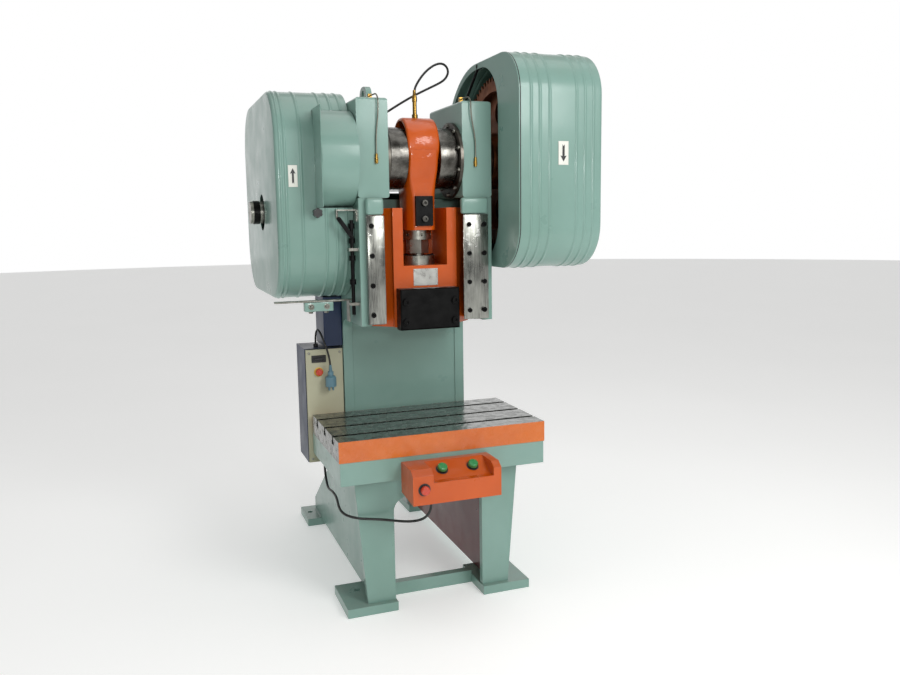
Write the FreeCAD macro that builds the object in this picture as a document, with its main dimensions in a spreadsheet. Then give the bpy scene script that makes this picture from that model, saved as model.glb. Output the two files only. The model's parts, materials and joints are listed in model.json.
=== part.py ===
import FreeCAD, Part
import os
from math import atan2, cos, degrees, hypot, pi, radians, sin, tan

import Sketcher
from FreeCAD import Placement, Rotation, Vector

# Geared C-frame stamping press. Millimetres. +X right, +Y back, +Z up.
# Origin: on the floor, midway between the four anchor holes.

DRIVING_SIZES = [
    # feet and lower frame
    ("anchor_pitch_x", 682), ("anchor_pitch_y", 1100), ("anchor_hole", 28),
    ("foot_thick", 40), ("front_foot_inner", 201), ("front_foot_width", 225),
    ("front_foot_front", -733), ("front_foot_length", 265),
    ("rear_foot_inner", 215), ("rear_foot_width", 160), ("rear_foot_front", 432), ("rear_foot_length", 224),
    ("frame_half_width", 300), ("side_plate_thick", 45), ("leg_front", -708), ("leg_plate_thick", 30),
    ("leg_outer_top", 378), ("leg_outer_bottom", 330), ("leg_inner", 205), ("arch_top", 500),
    ("arch_radius", 60), ("crossbar_front", -583), ("crossbar_thick", 40), ("crossbar_height", 58),
    ("throat_front", -253), ("waist_depth", 400), ("flare_height", 390), ("toe_reach", 600),
    ("toe_height", 70), ("wall_thick", 30), ("wall_recess", 4), ("rear_wall_top", 1030),
    # bed and bolster
    ("bed_top", 711), ("bed_height", 98), ("bed_half_width", 458), ("bed_front", -815),
    ("bed_skirt", 25), ("bed_plate", 40), ("bolster_half_width", 462), ("bolster_front", -817),
    ("bolster_depth", 537), ("bolster_thick", 89), ("slot_width", 22), ("slot_depth", 34),
    ("slot_foot_width", 37), ("slot_foot_height", 16), ("slot_pitch", 160),
    # head
    ("head_bottom", 1240), ("head_front", -618), ("block_seat", 1780), ("head_top", 1860),
    ("throat_radius", 60), ("block_front", -621), ("block_depth", 421), ("block_height", 410),
    ("block_inner", 165), ("block_round", 12), ("bush_wall", 14), ("bush_clearance", 0.05),
    ("lug_thick", 25), ("lug_length", 120), ("lug_height", 80), ("lug_hole", 42), ("lug_front", -410),
    ("ring_thick", 14), ("left_ring_radius", 137), ("right_ring_radius", 165),
    # crank train
    ("crank_y", -478), ("crank_z", 1945), ("stroke", 120), ("journal_radius", 75), ("pin_radius", 45),
    ("web_radius", 132), ("web_rise", 8), ("web_inner", 73), ("web_outer", 148),
    ("crank_left_end", -452), ("crank_right_end", 640), ("drum_radius", 165), ("drum_left", -440),
    ("drum_width", 105), ("tooth_module", 10), ("gear_teeth", 73), ("pinion_teeth", 14),
    ("gear_left", 372), ("gear_face", 105), ("gear_hub_radius", 125), ("gear_hub_length", 200),
    ("gear_web", 40), ("gear_rim", 45), ("shaft_z", 1730), ("shaft_radius", 50),
    ("shaft_left_end", -680), ("flywheel_radius", 355), ("flywheel_left", -580), ("flywheel_width", 110),
    ("flywheel_rim", 60), ("flywheel_web", 45), ("flywheel_hub_radius", 95), ("housing_radius", 85),
    ("housing_end", 302), ("pinion_extra", 8), ("run_gap", 0.05), ("seat_gap", 0.3),
    # connecting rod, screw and ram
    ("boss_half_width", 72), ("boss_radius", 122), ("big_end_clearance", 63), ("rod_foot_z", 1642),
    ("rod_foot_half_width", 68), ("rod_foot_half_depth", 50), ("rod_neck_half_depth", 86),
    ("rod_widens_at", 1750), ("rod_rib_half_width", 46), ("rod_rib_rise", 10),
    ("clamp_plate_half_width", 39), ("clamp_plate_thick", 16), ("screw_bore_depth", 172), ("screw_radius", 40),
    ("lock_ring_radius", 62), ("lock_ring_height", 42), ("hex_across", 88), ("hex_height", 68),
    ("cap_radius", 76), ("cap_height", 40), ("seat_z", 1490), ("ball_radius", 46),
    ("ram_half_width", 145), ("ram_half_depth", 110), ("ram_bottom", 1225), ("ram_top", 1738),
    ("ram_wall", 45), ("ram_back_wall", 25), ("ram_cheek_half", 88), ("ball_seat_radius", 54),
    ("ball_seat_depth", 106), ("way_reach", 236), ("way_tip", 4), ("way_gap", 0.5),
    ("shank_radius", 25), ("shank_depth", 90), ("die_clamp_half_width", 135), ("die_clamp_thick", 62),
    ("die_clamp_height", 178), ("die_clamp_bottom", 1216),
    ("gib_inner", 205), ("gib_outer", 274), ("gib_front", -640), ("gib_top", 1708), ("rear_way_back", 40),
    # flywheel guard, brake cover, gear guard
    ("sheet_thick", 3), ("fly_guard_left", -625), ("fly_guard_right", -303), ("fly_guard_front", -543),
    ("fly_guard_back", 450), ("fly_guard_bottom", 1350), ("fly_guard_top", 2243), ("fly_guard_round", 230),
    ("guard_shaft_gap", 32), ("guard_foot_width", 40), ("guard_foot_thick", 6), ("knob_x", -460),
    ("knob_z", 1721), ("knob_radius", 20), ("brake_cover_left", -458), ("brake_cover_radius", 203),
    ("gear_guard_left", 322),
    ("gear_guard_right", 712), ("gear_guard_front", -868), ("gear_guard_back", 22),
    ("gear_guard_bottom", 1470), ("gear_guard_top", 2388), ("gear_guard_round", 190),
    ("gear_guard_rear_round", 420), ("gear_guard_lip", 200),
    # motor and belts
    ("motor_y", 350), ("motor_z", 1520), ("motor_radius", 118), ("motor_left", -290), ("motor_length", 380),
    ("pulley_radius", 62), ("shelf_thick", 22), ("shelf_half_width", 240), ("belt_width", 12),
    ("belt_pitch", 26), ("lubricator_width", 88), ("lubricator_front", -250), ("lubricator_depth", 190),
    ("lubricator_bottom", 1112), ("lubricator_height", 228),
    # cabinet and console
    ("cabinet_left", -478), ("cabinet_front", -243), ("cabinet_depth", 225), ("cabinet_bottom", 560),
    ("cabinet_height", 540), ("cabinet_sheet", 2), ("door_thick", 16), ("door_margin", 3),
    ("console_left", -200), ("console_length", 385), ("console_top", 690), ("console_drop", 140),
    ("console_step", 55), ("palm_radius", 21), ("palm_travel", 6),
    ("cable_radius", 5.5), ("cord_radius", 4.5), ("hose_radius", 5), ("oil_tube_radius", 3),
]

doc = FreeCAD.newDocument("StampingPress")
sheet = doc.addObject("Spreadsheet::Sheet", "Sizes")
for row, (alias, value) in enumerate(DRIVING_SIZES, start=1):
    sheet.set("A%d" % row, alias)
    sheet.set("B%d" % row, str(value))
    sheet.setAlias("B%d" % row, alias)
doc.recompute()


class Dim:
    """A size with the expression that ties it to the sheet."""

    def __init__(self, value, text):
        self.value = float(value)
        self.text = text

    def __add__(self, other):
        other = dim(other)
        return Dim(self.value + other.value, "(%s + %s)" % (self.text, other.text))

    def __sub__(self, other):
        other = dim(other)
        return Dim(self.value - other.value, "(%s - %s)" % (self.text, other.text))

    def __mul__(self, other):
        other = dim(other)
        return Dim(self.value * other.value, "(%s * %s)" % (self.text, other.text))

    def __truediv__(self, other):
        other = dim(other)
        return Dim(self.value / other.value, "(%s / %s)" % (self.text, other.text))

    def __neg__(self):
        return Dim(-self.value, "(-1 * %s)" % self.text)

    def __radd__(self, other):
        return dim(other) + self

    def __rsub__(self, other):
        return dim(other) - self

    def __rmul__(self, other):
        return dim(other) * self

    def __float__(self):
        return self.value


def dim(number):
    if isinstance(number, Dim):
        return number
    return Dim(number, "(%r)" % float(number))


class Sizes:
    """Reads a driving size from the sheet by its alias."""

    def __getattr__(self, alias):
        return Dim(sheet.get(alias), "Sizes." + alias)


S = Sizes()
NODES = []


# ---------------------------------------------------------------- helpers

def bind(thing, path, size):
    thing.setExpression(path, dim(size).text)


def place(thing, x=0, y=0, z=0, rotation=Rotation()):
    thing.Placement = Placement(Vector(float(x), float(y), float(z)), rotation)
    for axis, size in (("x", x), ("y", y), ("z", z)):
        if isinstance(size, Dim):
            bind(thing, "Placement.Base." + axis, size)


def node(thing, label):
    thing.Label = label
    NODES.append(thing)
    return thing


def new_sketch(body, role, offset=0):
    sketch = body.newObject("Sketcher::SketchObject", body.Name + "_sketch")
    plane = [item for item in body.Origin.OriginFeatures if item.Role == role][0]
    sketch.AttachmentSupport = [(plane, "")]
    sketch.MapMode = "FlatFace"
    sketch.AttachmentOffset = Placement(Vector(0, 0, float(offset)), Rotation())
    if isinstance(offset, Dim):
        bind(sketch, "AttachmentOffset.Base.z", offset)
    return sketch


def pin_point(sketch, geometry, point, position):
    """Holds one point of the sketch at its two bound distances from the sketch origin."""
    for kind, size, own_axis in (("DistanceX", position[0], -2), ("DistanceY", position[1], -1)):
        size = dim(size)
        if abs(size.value) < 1e-9:
            sketch.addConstraint(Sketcher.Constraint("PointOnObject", geometry, point, own_axis))
            continue
        ends = (-1, 1, geometry, point) if size.value > 0 else (geometry, point, -1, 1)
        index = sketch.addConstraint(Sketcher.Constraint(kind, *ends, abs(size.value)))
        bind(sketch, "Constraints[%d]" % index, size if size.value > 0 else -size)


def draw_outline(sketch, points):
    first = sketch.GeometryCount
    corners = [Vector(float(a), float(b), 0) for a, b in points]
    for index, corner in enumerate(corners):
        sketch.addGeometry(Part.LineSegment(corner, corners[(index + 1) % len(corners)]), False)
    for index in range(len(corners)):
        following = first + (index + 1) % len(corners)
        sketch.addConstraint(Sketcher.Constraint("Coincident", first + index, 2, following, 1))
    for index, position in enumerate(points):
        pin_point(sketch, first + index, 1, position)


def draw_circle(sketch, centre, radius):
    spot = Vector(float(centre[0]), float(centre[1]), 0)
    index = sketch.addGeometry(Part.Circle(spot, Vector(0, 0, 1), float(radius)), False)
    ring = sketch.addConstraint(Sketcher.Constraint("Radius", index, float(radius)))
    if isinstance(radius, Dim):
        bind(sketch, "Constraints[%d]" % ring, radius)
    pin_point(sketch, index, 3, centre)


PLANES = {"X": "YZ_Plane", "Y": "XZ_Plane", "Z": "XY_Plane"}


def padded(label, axis, start, length, outline, holes=(), cuts=()):
    """A plate: an outline in the plane across the axis, padded from start along +axis.
    holes are (centre, radius) circles and cuts are further closed outlines."""
    body = doc.addObject("PartDesign::Body", label)
    start, length = dim(start), dim(length)
    offset = -(start + length) if axis == "Y" else start
    sketch = new_sketch(body, PLANES[axis], offset)
    draw_outline(sketch, outline)
    for centre, radius in holes:
        draw_circle(sketch, centre, radius)
    for cut in cuts:
        draw_outline(sketch, cut)
    pad = body.newObject("PartDesign::Pad", label + "_pad")
    pad.Profile = sketch
    pad.Length = length.value
    bind(pad, "Length", length)
    body.Tip = pad
    doc.recompute()
    return node(body, label)


def pocketed(body, axis, start, length, outline):
    """Cuts an outline out of a padded body, between start and start + length along the axis."""
    start, length = dim(start), dim(length)
    offset = -start if axis == "Y" else start + length
    sketch = new_sketch(body, PLANES[axis], offset)
    draw_outline(sketch, outline)
    before = body.Shape.Volume
    pocket = body.newObject("PartDesign::Pocket", body.Name + "_pocket")
    pocket.Profile = sketch
    pocket.Length = length.value
    bind(pocket, "Length", length)
    body.Tip = pocket
    doc.recompute()
    if body.Shape.Volume >= before - 1e-6:
        raise RuntimeError("pocket cuts nothing in " + body.Label)
    return body


def rounded(body, radius, picks):
    """Rounds the edges of the body whose middle is where picks() says."""
    tip = body.Tip
    names = ["Edge%d" % (index + 1) for index, edge in enumerate(tip.Shape.Edges) if picks(edge)]
    fillet = body.newObject("PartDesign::Fillet", body.Name + "_fillet")
    fillet.Base = (tip, names)
    fillet.Radius = float(radius)
    if isinstance(radius, Dim):
        bind(fillet, "Radius", radius)
    body.Tip = fillet
    doc.recompute()
    return body


def along(edge, axis):
    """True for a straight edge that runs along the axis."""
    if len(edge.Vertexes) != 2 or edge.Curve.TypeId != "Part::GeomLine":
        return False
    return abs(abs(edge.Curve.Direction.dot(axis)) - 1) < 1e-6


def near(value, size, slack=0.01):
    return abs(value - float(size)) < slack


def turned(label, axis, y, z, profile, x=0):
    """A turned piece: (distance along the axis, radius) corners revolved about X or Z."""
    body = doc.addObject("PartDesign::Body", label)
    if axis == "X":
        sketch = new_sketch(body, "XY_Plane")
        draw_outline(sketch, profile)
        line = "H_Axis"
    else:
        sketch = new_sketch(body, "XZ_Plane")
        draw_outline(sketch, [(radius, height) for height, radius in profile])
        line = "V_Axis"
    spin = body.newObject("PartDesign::Revolution", label + "_turn")
    spin.Profile = sketch
    spin.ReferenceAxis = (sketch, [line])
    spin.Angle = 360
    body.Tip = spin
    place(body, x, y, z)
    doc.recompute()
    return node(body, label)


TURN = {"X": Rotation(Vector(0, 1, 0), 90), "Y": Rotation(Vector(1, 0, 0), -90), "Z": Rotation()}


def cylinder(name, axis, x, y, z, radius, length):
    """A Part cylinder whose base centre is at x, y, z and which runs along +axis."""
    thing = doc.addObject("Part::Cylinder", name)
    thing.Radius = float(radius)
    bind(thing, "Radius", radius)
    thing.Height = float(length)
    bind(thing, "Height", length)
    place(thing, x, y, z, TURN[axis])
    return thing


def box(name, x, y, z, width, depth, height):
    """A Part box with its lowest corner at x, y, z."""
    thing = doc.addObject("Part::Box", name)
    for field, size in (("Length", width), ("Width", depth), ("Height", height)):
        setattr(thing, field, float(size))
        bind(thing, field, size)
    place(thing, x, y, z)
    return thing


def fuse(name, *pieces):
    thing = doc.addObject("Part::MultiFuse", name)
    thing.Shapes = list(pieces)
    return thing


def grouped(label, members):
    """Separate solids of one kind kept in a single node."""
    for member in members:
        NODES.remove(member)
    group = doc.addObject("Part::Compound", label)
    group.Links = list(members)
    return node(group, label)


def shaped(label, shape):
    """A node whose shape comes from Part functions on the sheet's sizes."""
    thing = doc.addObject("Part::Feature", label)
    thing.Shape = shape
    thing.Placement = Placement()
    return node(thing, label)


def solid_cylinder(x, y, z, radius, length, axis):
    way = {"X": Vector(1, 0, 0), "Y": Vector(0, 1, 0), "Z": Vector(0, 0, 1)}[axis]
    return Part.makeCylinder(float(radius), float(length), Vector(float(x), float(y), float(z)), way)


def solid_box(x0, y0, z0, x1, y1, z1):
    corner = Vector(float(x0), float(y0), float(z0))
    return Part.makeBox(float(x1) - float(x0), float(y1) - float(y0), float(z1) - float(z0), corner)


def socket_screw(spot, radius, height, axis, facing):
    """A socket head screw: a round head with a six-sided socket. spot is the seat's centre."""
    way = {"X": Vector(1, 0, 0), "Y": Vector(0, 1, 0), "Z": Vector(0, 0, 1)}[axis] * facing
    head = Part.makeCylinder(radius, height, spot, way)
    turn = Rotation(Vector(0, 0, 1), way)
    corners = []
    for step in range(7):
        angle = radians(60 * step)
        corner = turn.multVec(Vector(cos(angle), sin(angle), 0) * (radius * 0.55))
        corners.append(spot + way * (height * 0.4) + corner)
    socket = Part.Face(Part.makePolygon(corners)).extrude(way * height)
    return head.cut(socket)


def screws(label, spots, radius, height, axis="Y", facing=-1):
    return shaped(label, Part.makeCompound([socket_screw(spot, radius, height, axis, facing) for spot in spots]))


def route_tube(label, points, radius):
    """A tube of straight runs joined by tangent arcs, each as large as its two runs allow."""
    corners = [Vector(*point) for point in points]
    edges = []
    radii = []
    length = 0.0
    last = corners[0]
    for before, corner, after in zip(corners, corners[1:], corners[2:]):
        back = (before - corner).normalize()
        on = (after - corner).normalize()
        half_turn = (pi - back.getAngle(on)) / 2
        shorter = min((before - corner).Length, (after - corner).Length)
        bend = 0.45 * shorter / tan(half_turn)
        radii.append(bend)
        cut_back = bend * tan(half_turn)
        start = corner + back * cut_back
        stop = corner + on * cut_back
        middle_way = (back + on).normalize()
        middle = corner + middle_way * (bend / cos(half_turn) - bend)
        edges.append(Part.LineSegment(last, start).toShape())
        edges.append(Part.Arc(start, middle, stop).toShape())
        last = stop
    edges.append(Part.LineSegment(last, corners[-1]).toShape())
    path = Part.Wire(edges)
    length = path.Length
    heading = (corners[1] - corners[0]).normalize()
    ring = Part.Wire([Part.makeCircle(radius, corners[0], heading)])
    tube = path.makePipeShell([ring], True, False)
    expected = pi * radius * radius * length
    if abs(tube.Volume - expected) > 0.01 * expected:
        raise RuntimeError("tube volume is wrong in " + label)
    print("%s: length %.0f mm, bend radii %s" % (label, length, [round(bend) for bend in radii]))
    return shaped(label, tube)


X_WAY = Vector(1, 0, 0)
Y_WAY = Vector(0, 1, 0)
Z_WAY = Vector(0, 0, 1)
SIDES = (("left", -1), ("right", 1))


def mirrored_x(side, low, high):
    """The start and the length, along X, of a span from low to high on one side."""
    return (low, high - low) if side > 0 else (-high, high - low)


# ---------------------------------------------------------------- lower frame

def make_feet():
    feet = []
    for name, side in SIDES:
        for end, inner, width, front, length, hole_y in (
                ("front", S.front_foot_inner, S.front_foot_width, S.front_foot_front, S.front_foot_length,
                 -S.anchor_pitch_y / 2),
                ("rear", S.rear_foot_inner, S.rear_foot_width, S.rear_foot_front, S.rear_foot_length,
                 S.anchor_pitch_y / 2)):
            x0, dx = mirrored_x(side, inner, inner + width)
            outline = [(x0, front), (x0 + dx, front), (x0 + dx, front + length), (x0, front + length)]
            hole = ((side * S.anchor_pitch_x / 2, hole_y), S.anchor_hole / 2)
            feet.append(padded("foot_%s_%s" % (end, name), "Z", 0, S.foot_thick, outline, [hole]))
    grouped("feet", feet)


def make_side_plates():
    waist_rear = S.throat_front + S.waist_depth
    block_back = S.block_front + S.block_depth
    seat_top = S.bed_top - S.bed_plate
    outline = [
        (S.leg_front + S.leg_plate_thick, S.foot_thick), (S.toe_reach, S.foot_thick),
        (S.toe_reach, S.foot_thick + S.toe_height), (waist_rear, S.foot_thick + S.flare_height),
        (waist_rear, S.head_top), (block_back, S.head_top), (block_back, S.block_seat),
        (S.head_front, S.block_seat), (S.head_front, S.head_bottom), (S.throat_front, S.head_bottom),
        (S.throat_front, seat_top), (S.leg_front + S.leg_plate_thick, seat_top)]
    shaft_y = back_shaft_y()
    for name, side in SIDES:
        x0, dx = mirrored_x(side, S.frame_half_width - S.side_plate_thick, S.frame_half_width)
        hole = ((shaft_y, S.shaft_z), S.housing_radius + S.seat_gap)
        plate = padded("side_plate_" + name, "X", x0, dx, outline, [hole])

        def throat_corner(edge):
            if not along(edge, X_WAY):
                return False
            spot = edge.Vertexes[0].Point
            return near(spot.y, S.throat_front) and near(spot.z, S.head_bottom)

        rounded(plate, S.throat_radius, throat_corner)


def make_front_leg_plate():
    seat_top = S.bed_top - S.bed_plate
    inner, low = S.leg_inner, S.foot_thick
    step = S.bed_top - S.bed_height
    outline = [
        (-inner, low), (-inner, S.arch_top), (inner, S.arch_top), (inner, low), (S.leg_outer_bottom, low),
        (S.leg_outer_top, step), (S.leg_outer_top, seat_top), (-S.leg_outer_top, seat_top),
        (-S.leg_outer_top, step), (-S.leg_outer_bottom, low)]
    plate = padded("front_leg_plate", "Y", S.leg_front, S.leg_plate_thick, outline)

    def arch_corner(edge):
        if not along(edge, Y_WAY):
            return False
        spot = edge.Vertexes[0].Point
        return near(abs(spot.x), inner) and near(spot.z, S.arch_top)

    rounded(plate, S.arch_radius, arch_corner)


def cross_plate(label, axis, start, thick, low, high, half=None):
    """A plate between the two side plates. low and high are its limits across the third axis."""
    half = half if half is not None else S.frame_half_width - S.side_plate_thick
    outline = [(-half, low), (half, low), (half, high), (-half, high)]
    return padded(label, axis, start, thick, outline)


def make_cross_plates():
    waist_rear = S.throat_front + S.waist_depth
    block_back = S.block_front + S.block_depth
    cross_plate("front_crossbar", "Y", S.crossbar_front, S.crossbar_thick, 0, S.crossbar_height,
                S.front_foot_inner)
    cross_plate("head_top_plate", "Z", S.head_top - S.wall_thick, S.wall_thick, block_back, waist_rear)
    ram_back = S.crank_y + S.ram_half_depth + S.rear_way_back
    grouped("cross_walls", [
        cross_plate("throat_wall", "Y", S.throat_front + S.wall_recess, S.wall_thick,
                    S.bed_top - S.bed_plate, S.head_bottom),
        cross_plate("rear_wall", "Y", waist_rear - S.wall_thick, S.wall_thick,
                    S.foot_thick + S.flare_height, S.rear_wall_top),
        cross_plate("head_back_plate", "Y", ram_back, S.wall_thick, S.head_bottom, S.block_seat)])


def make_bed():
    low = S.bed_top - S.bed_height
    half = S.bed_half_width
    back = S.throat_front
    bed = padded("bed_plate", "Z", low, S.bed_height,
                 [(-half, S.bed_front), (half, S.bed_front), (half, back), (-half, back)])
    inner = half - S.bed_skirt
    pocketed(bed, "Z", low, S.bed_height - S.bed_plate,
             [(-inner, S.bed_front + S.bed_skirt), (inner, S.bed_front + S.bed_skirt),
              (inner, back), (-inner, back)])
    bolster_low = S.bed_top
    half = S.bolster_half_width
    front = S.bolster_front
    back = front + S.bolster_depth
    top = bolster_low + S.bolster_thick
    outline = [(front, bolster_low), (back, bolster_low)]
    # the T-slots run along X, so they are notches of the end outline, taken from the back to the front
    middle = (front + back) / 2
    outline.append((back, top))
    for place_in_row in (1, 0, -1):
        centre = middle + place_in_row * S.slot_pitch
        neck, foot = S.slot_width / 2, S.slot_foot_width / 2
        floor_z = top - S.slot_depth
        shelf = floor_z + S.slot_foot_height
        outline += [(centre + neck, top), (centre + neck, shelf), (centre + foot, shelf),
                    (centre + foot, floor_z), (centre - foot, floor_z), (centre - foot, shelf),
                    (centre - neck, shelf), (centre - neck, top)]
    outline.append((front, top))
    padded("bolster", "X", -half, half * 2, outline)


# ---------------------------------------------------------------- head

def back_shaft_y():
    """The back shaft stands where its pinion meets the main gear."""
    centres = float(S.tooth_module) * (float(S.gear_teeth) + float(S.pinion_teeth)) / 2
    drop = float(S.crank_z) - float(S.shaft_z)
    return Dim(float(S.crank_y) + (centres ** 2 - drop ** 2) ** 0.5,
               "(Sizes.crank_y + sqrt(pow(Sizes.tooth_module * (Sizes.gear_teeth + Sizes.pinion_teeth) / 2; 2)"
               " - pow(Sizes.crank_z - Sizes.shaft_z; 2)))")


def make_bearing_blocks():
    bore = S.journal_radius + S.bush_clearance + S.bush_wall
    blocks, bushes, rings = [], [], []
    for name, side in SIDES:
        x0, dx = mirrored_x(side, S.block_inner, S.frame_half_width)
        back = S.block_front + S.block_depth
        top = S.block_seat + S.block_height
        outline = [(S.block_front, S.block_seat), (back, S.block_seat), (back, top), (S.block_front, top)]
        block = padded("bearing_block_" + name, "X", x0, dx, outline, [((S.crank_y, S.crank_z), bore)])

        def outer_edge(edge):
            return along(edge, Y_WAY) or (along(edge, X_WAY) and edge.Vertexes[0].Point.z > float(S.crank_z))

        blocks.append(rounded(block, S.block_round, outer_edge))
        bushes.append(turned("crank_bush_" + name, "X", S.crank_y, S.crank_z, [
            (x0, S.journal_radius + S.bush_clearance), (x0 + dx, S.journal_radius + S.bush_clearance),
            (x0 + dx, bore), (x0, bore)]))
        radius = S.left_ring_radius if side < 0 else S.right_ring_radius
        rx, rdx = mirrored_x(side, S.block_inner - S.ring_thick, S.block_inner)
        rings.append(turned("bearing_ring_" + name, "X", S.crank_y, S.crank_z, [
            (rx, S.journal_radius + 6), (rx + rdx, S.journal_radius + 6), (rx + rdx, radius), (rx, radius)]))
    grouped("bearing_blocks", blocks)
    grouped("crank_bushes", bushes)
    grouped("bearing_rings", rings)


def make_lug():
    x0 = -(S.block_inner + S.lug_thick + 8)
    low = S.block_seat + S.block_height
    back = S.lug_front + S.lug_length
    middle = S.lug_front + S.lug_length / 2
    lug = padded("lifting_lug", "X", x0, S.lug_thick,
                 [(S.lug_front, low), (back, low), (back, low + S.lug_height), (S.lug_front, low + S.lug_height)],
                 [((middle, low + S.lug_height - S.lug_hole * 0.9), S.lug_hole / 2)])

    def top_corner(edge):
        return along(edge, X_WAY) and near(edge.Vertexes[0].Point.z, low + S.lug_height)

    rounded(lug, S.lug_length * 0.4, top_corner)


def way_line(x, front_sign):
    """Y of the ram's slanted way at x, on its front (-1) or rear (+1) flank."""
    slope = (S.ram_cheek_half - S.way_tip) / (S.way_reach - S.ram_half_width)
    return S.crank_y + front_sign * (S.ram_cheek_half - (x - S.ram_half_width) * slope)


def make_gibs():
    inner_face = S.frame_half_width - S.side_plate_thick
    tip = S.way_reach + 4
    gibs = []
    for name, side in SIDES:
        front = [
            (S.gib_outer, S.gib_front), (S.gib_inner, S.gib_front),
            (S.gib_inner, way_line(S.gib_inner, -1) - S.way_gap), (tip, way_line(tip, -1) - S.way_gap),
            (inner_face, way_line(tip, -1) - S.way_gap), (inner_face, S.head_front),
            (S.gib_outer, S.head_front)]
        rear = [
            (S.gib_inner, S.crank_y + S.ram_half_depth + S.rear_way_back),
            (inner_face, S.crank_y + S.ram_half_depth + S.rear_way_back),
            (inner_face, way_line(tip, 1) + S.way_gap), (tip, way_line(tip, 1) + S.way_gap),
            (S.gib_inner, way_line(S.gib_inner, 1) + S.way_gap)]
        for label, outline in (("gib_" + name, front), ("rear_way_" + name, rear)):
            points = [(side * x, y) for x, y in outline]
            gibs.append(padded(label, "Z", S.head_bottom + 8, S.gib_top - S.head_bottom - 8, points))
    grouped("gibs", gibs)
    spots = []
    for side in (-1, 1):
        for row in range(4):
            rise = float(S.head_bottom) + 49 + row * 125
            spots.append(Vector(side * (float(S.gib_outer) - 20), float(S.gib_front), rise))
    screws("gib_screws", spots, 11.0, 8.0)


# ---------------------------------------------------------------- crank train

def make_crankshaft():
    throw = S.stroke / 2
    radius = S.journal_radius
    y, z = S.crank_y, S.crank_z
    left = cylinder("crank_left", "X", S.crank_left_end, y, z, radius, -S.web_outer - S.crank_left_end)
    right = cylinder("crank_right", "X", S.web_outer, y, z, radius, S.crank_right_end - S.web_outer)
    width = S.web_outer - S.web_inner
    webs = [cylinder("crank_web_" + name, "X", start, y, z + S.web_rise, S.web_radius, width)
            for name, start in (("left", -S.web_outer), ("right", S.web_inner))]
    pin = cylinder("crank_pin", "X", -S.web_inner, y, z + throw, S.pin_radius, S.web_inner * 2)
    node(fuse("crankshaft_body", left, right, pin, *webs), "crankshaft")
    inner = S.journal_radius
    hub = S.journal_radius + 30
    rim = S.drum_radius - 14
    end = S.drum_left + S.drum_width
    turned("brake_drum", "X", y, z, [
        (S.drum_left, inner), (end, inner), (end, hub), (S.drum_left + 18, hub), (S.drum_left + 18, rim),
        (end, rim), (end, S.drum_radius), (S.drum_left, S.drum_radius)])


def tooth_points(teeth, module, phase):
    """Corners of a spur gear outline with straight tapering teeth, thin enough to run with backlash."""
    pitch_radius = teeth * module / 2
    points = []
    for index in range(teeth):
        centre = phase + 2 * pi * index / teeth
        for radius, share in ((pitch_radius - 1.25 * module, -0.33), (pitch_radius + 0.9 * module, -0.115),
                              (pitch_radius + 0.9 * module, 0.115), (pitch_radius - 1.25 * module, 0.33)):
            angle = centre + share * 2 * pi / teeth
            points.append((radius * cos(angle), radius * sin(angle)))
    return points


def spur_gear(x, y, z, face, teeth, module, phase, bore):
    corners = [Vector(float(x), float(y) + a, float(z) + b) for a, b in tooth_points(teeth, module, phase)]
    outline = Part.Face(Part.makePolygon(corners + corners[:1]))
    gear = outline.extrude(Vector(float(face), 0, 0))
    return gear.cut(solid_cylinder(float(x) - 1, y, z, bore, float(face) + 2, "X"))


def make_gears():
    module = float(S.tooth_module)
    gear_count, pinion_count = round(float(S.gear_teeth)), round(float(S.pinion_teeth))
    gear_y, gear_z = float(S.crank_y), float(S.crank_z)
    shaft_y, shaft_z = float(back_shaft_y()), float(S.shaft_z)
    line = atan2(shaft_z - gear_z, shaft_y - gear_y)
    left, face = float(S.gear_left), float(S.gear_face)
    root = module * (gear_count / 2 - 1.25)
    gear = spur_gear(left, gear_y, gear_z, face, gear_count, module, line, root - float(S.gear_rim))
    web_x = left + (face - float(S.gear_web)) / 2
    web = solid_cylinder(web_x, gear_y, gear_z, root - float(S.gear_rim) + 1, S.gear_web, "X")
    for step in range(6):
        angle = radians(60 * step + 30)
        reach = (root - float(S.gear_rim) + float(S.gear_hub_radius)) / 2
        web = web.cut(solid_cylinder(web_x - 1, gear_y + reach * cos(angle), gear_z + reach * sin(angle), 52,
                                     float(S.gear_web) + 2, "X"))
    hub_x = left + face / 2 - float(S.gear_hub_length) / 2
    hub = solid_cylinder(hub_x, gear_y, gear_z, S.gear_hub_radius, S.gear_hub_length, "X")
    bore = solid_cylinder(hub_x - 1, gear_y, gear_z, float(S.journal_radius) + float(S.run_gap),
                          float(S.gear_hub_length) + 2, "X")
    shaped("main_gear", gear.fuse([web, hub]).cut(bore).removeSplitter())
    extra = float(S.pinion_extra)
    half_tooth = pi / pinion_count
    pinion = spur_gear(left - extra, shaft_y, shaft_z, face + 2 * extra, pinion_count, module,
                       line + pi + half_tooth, S.shaft_radius)
    shaped("drive_pinion", pinion)


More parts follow.
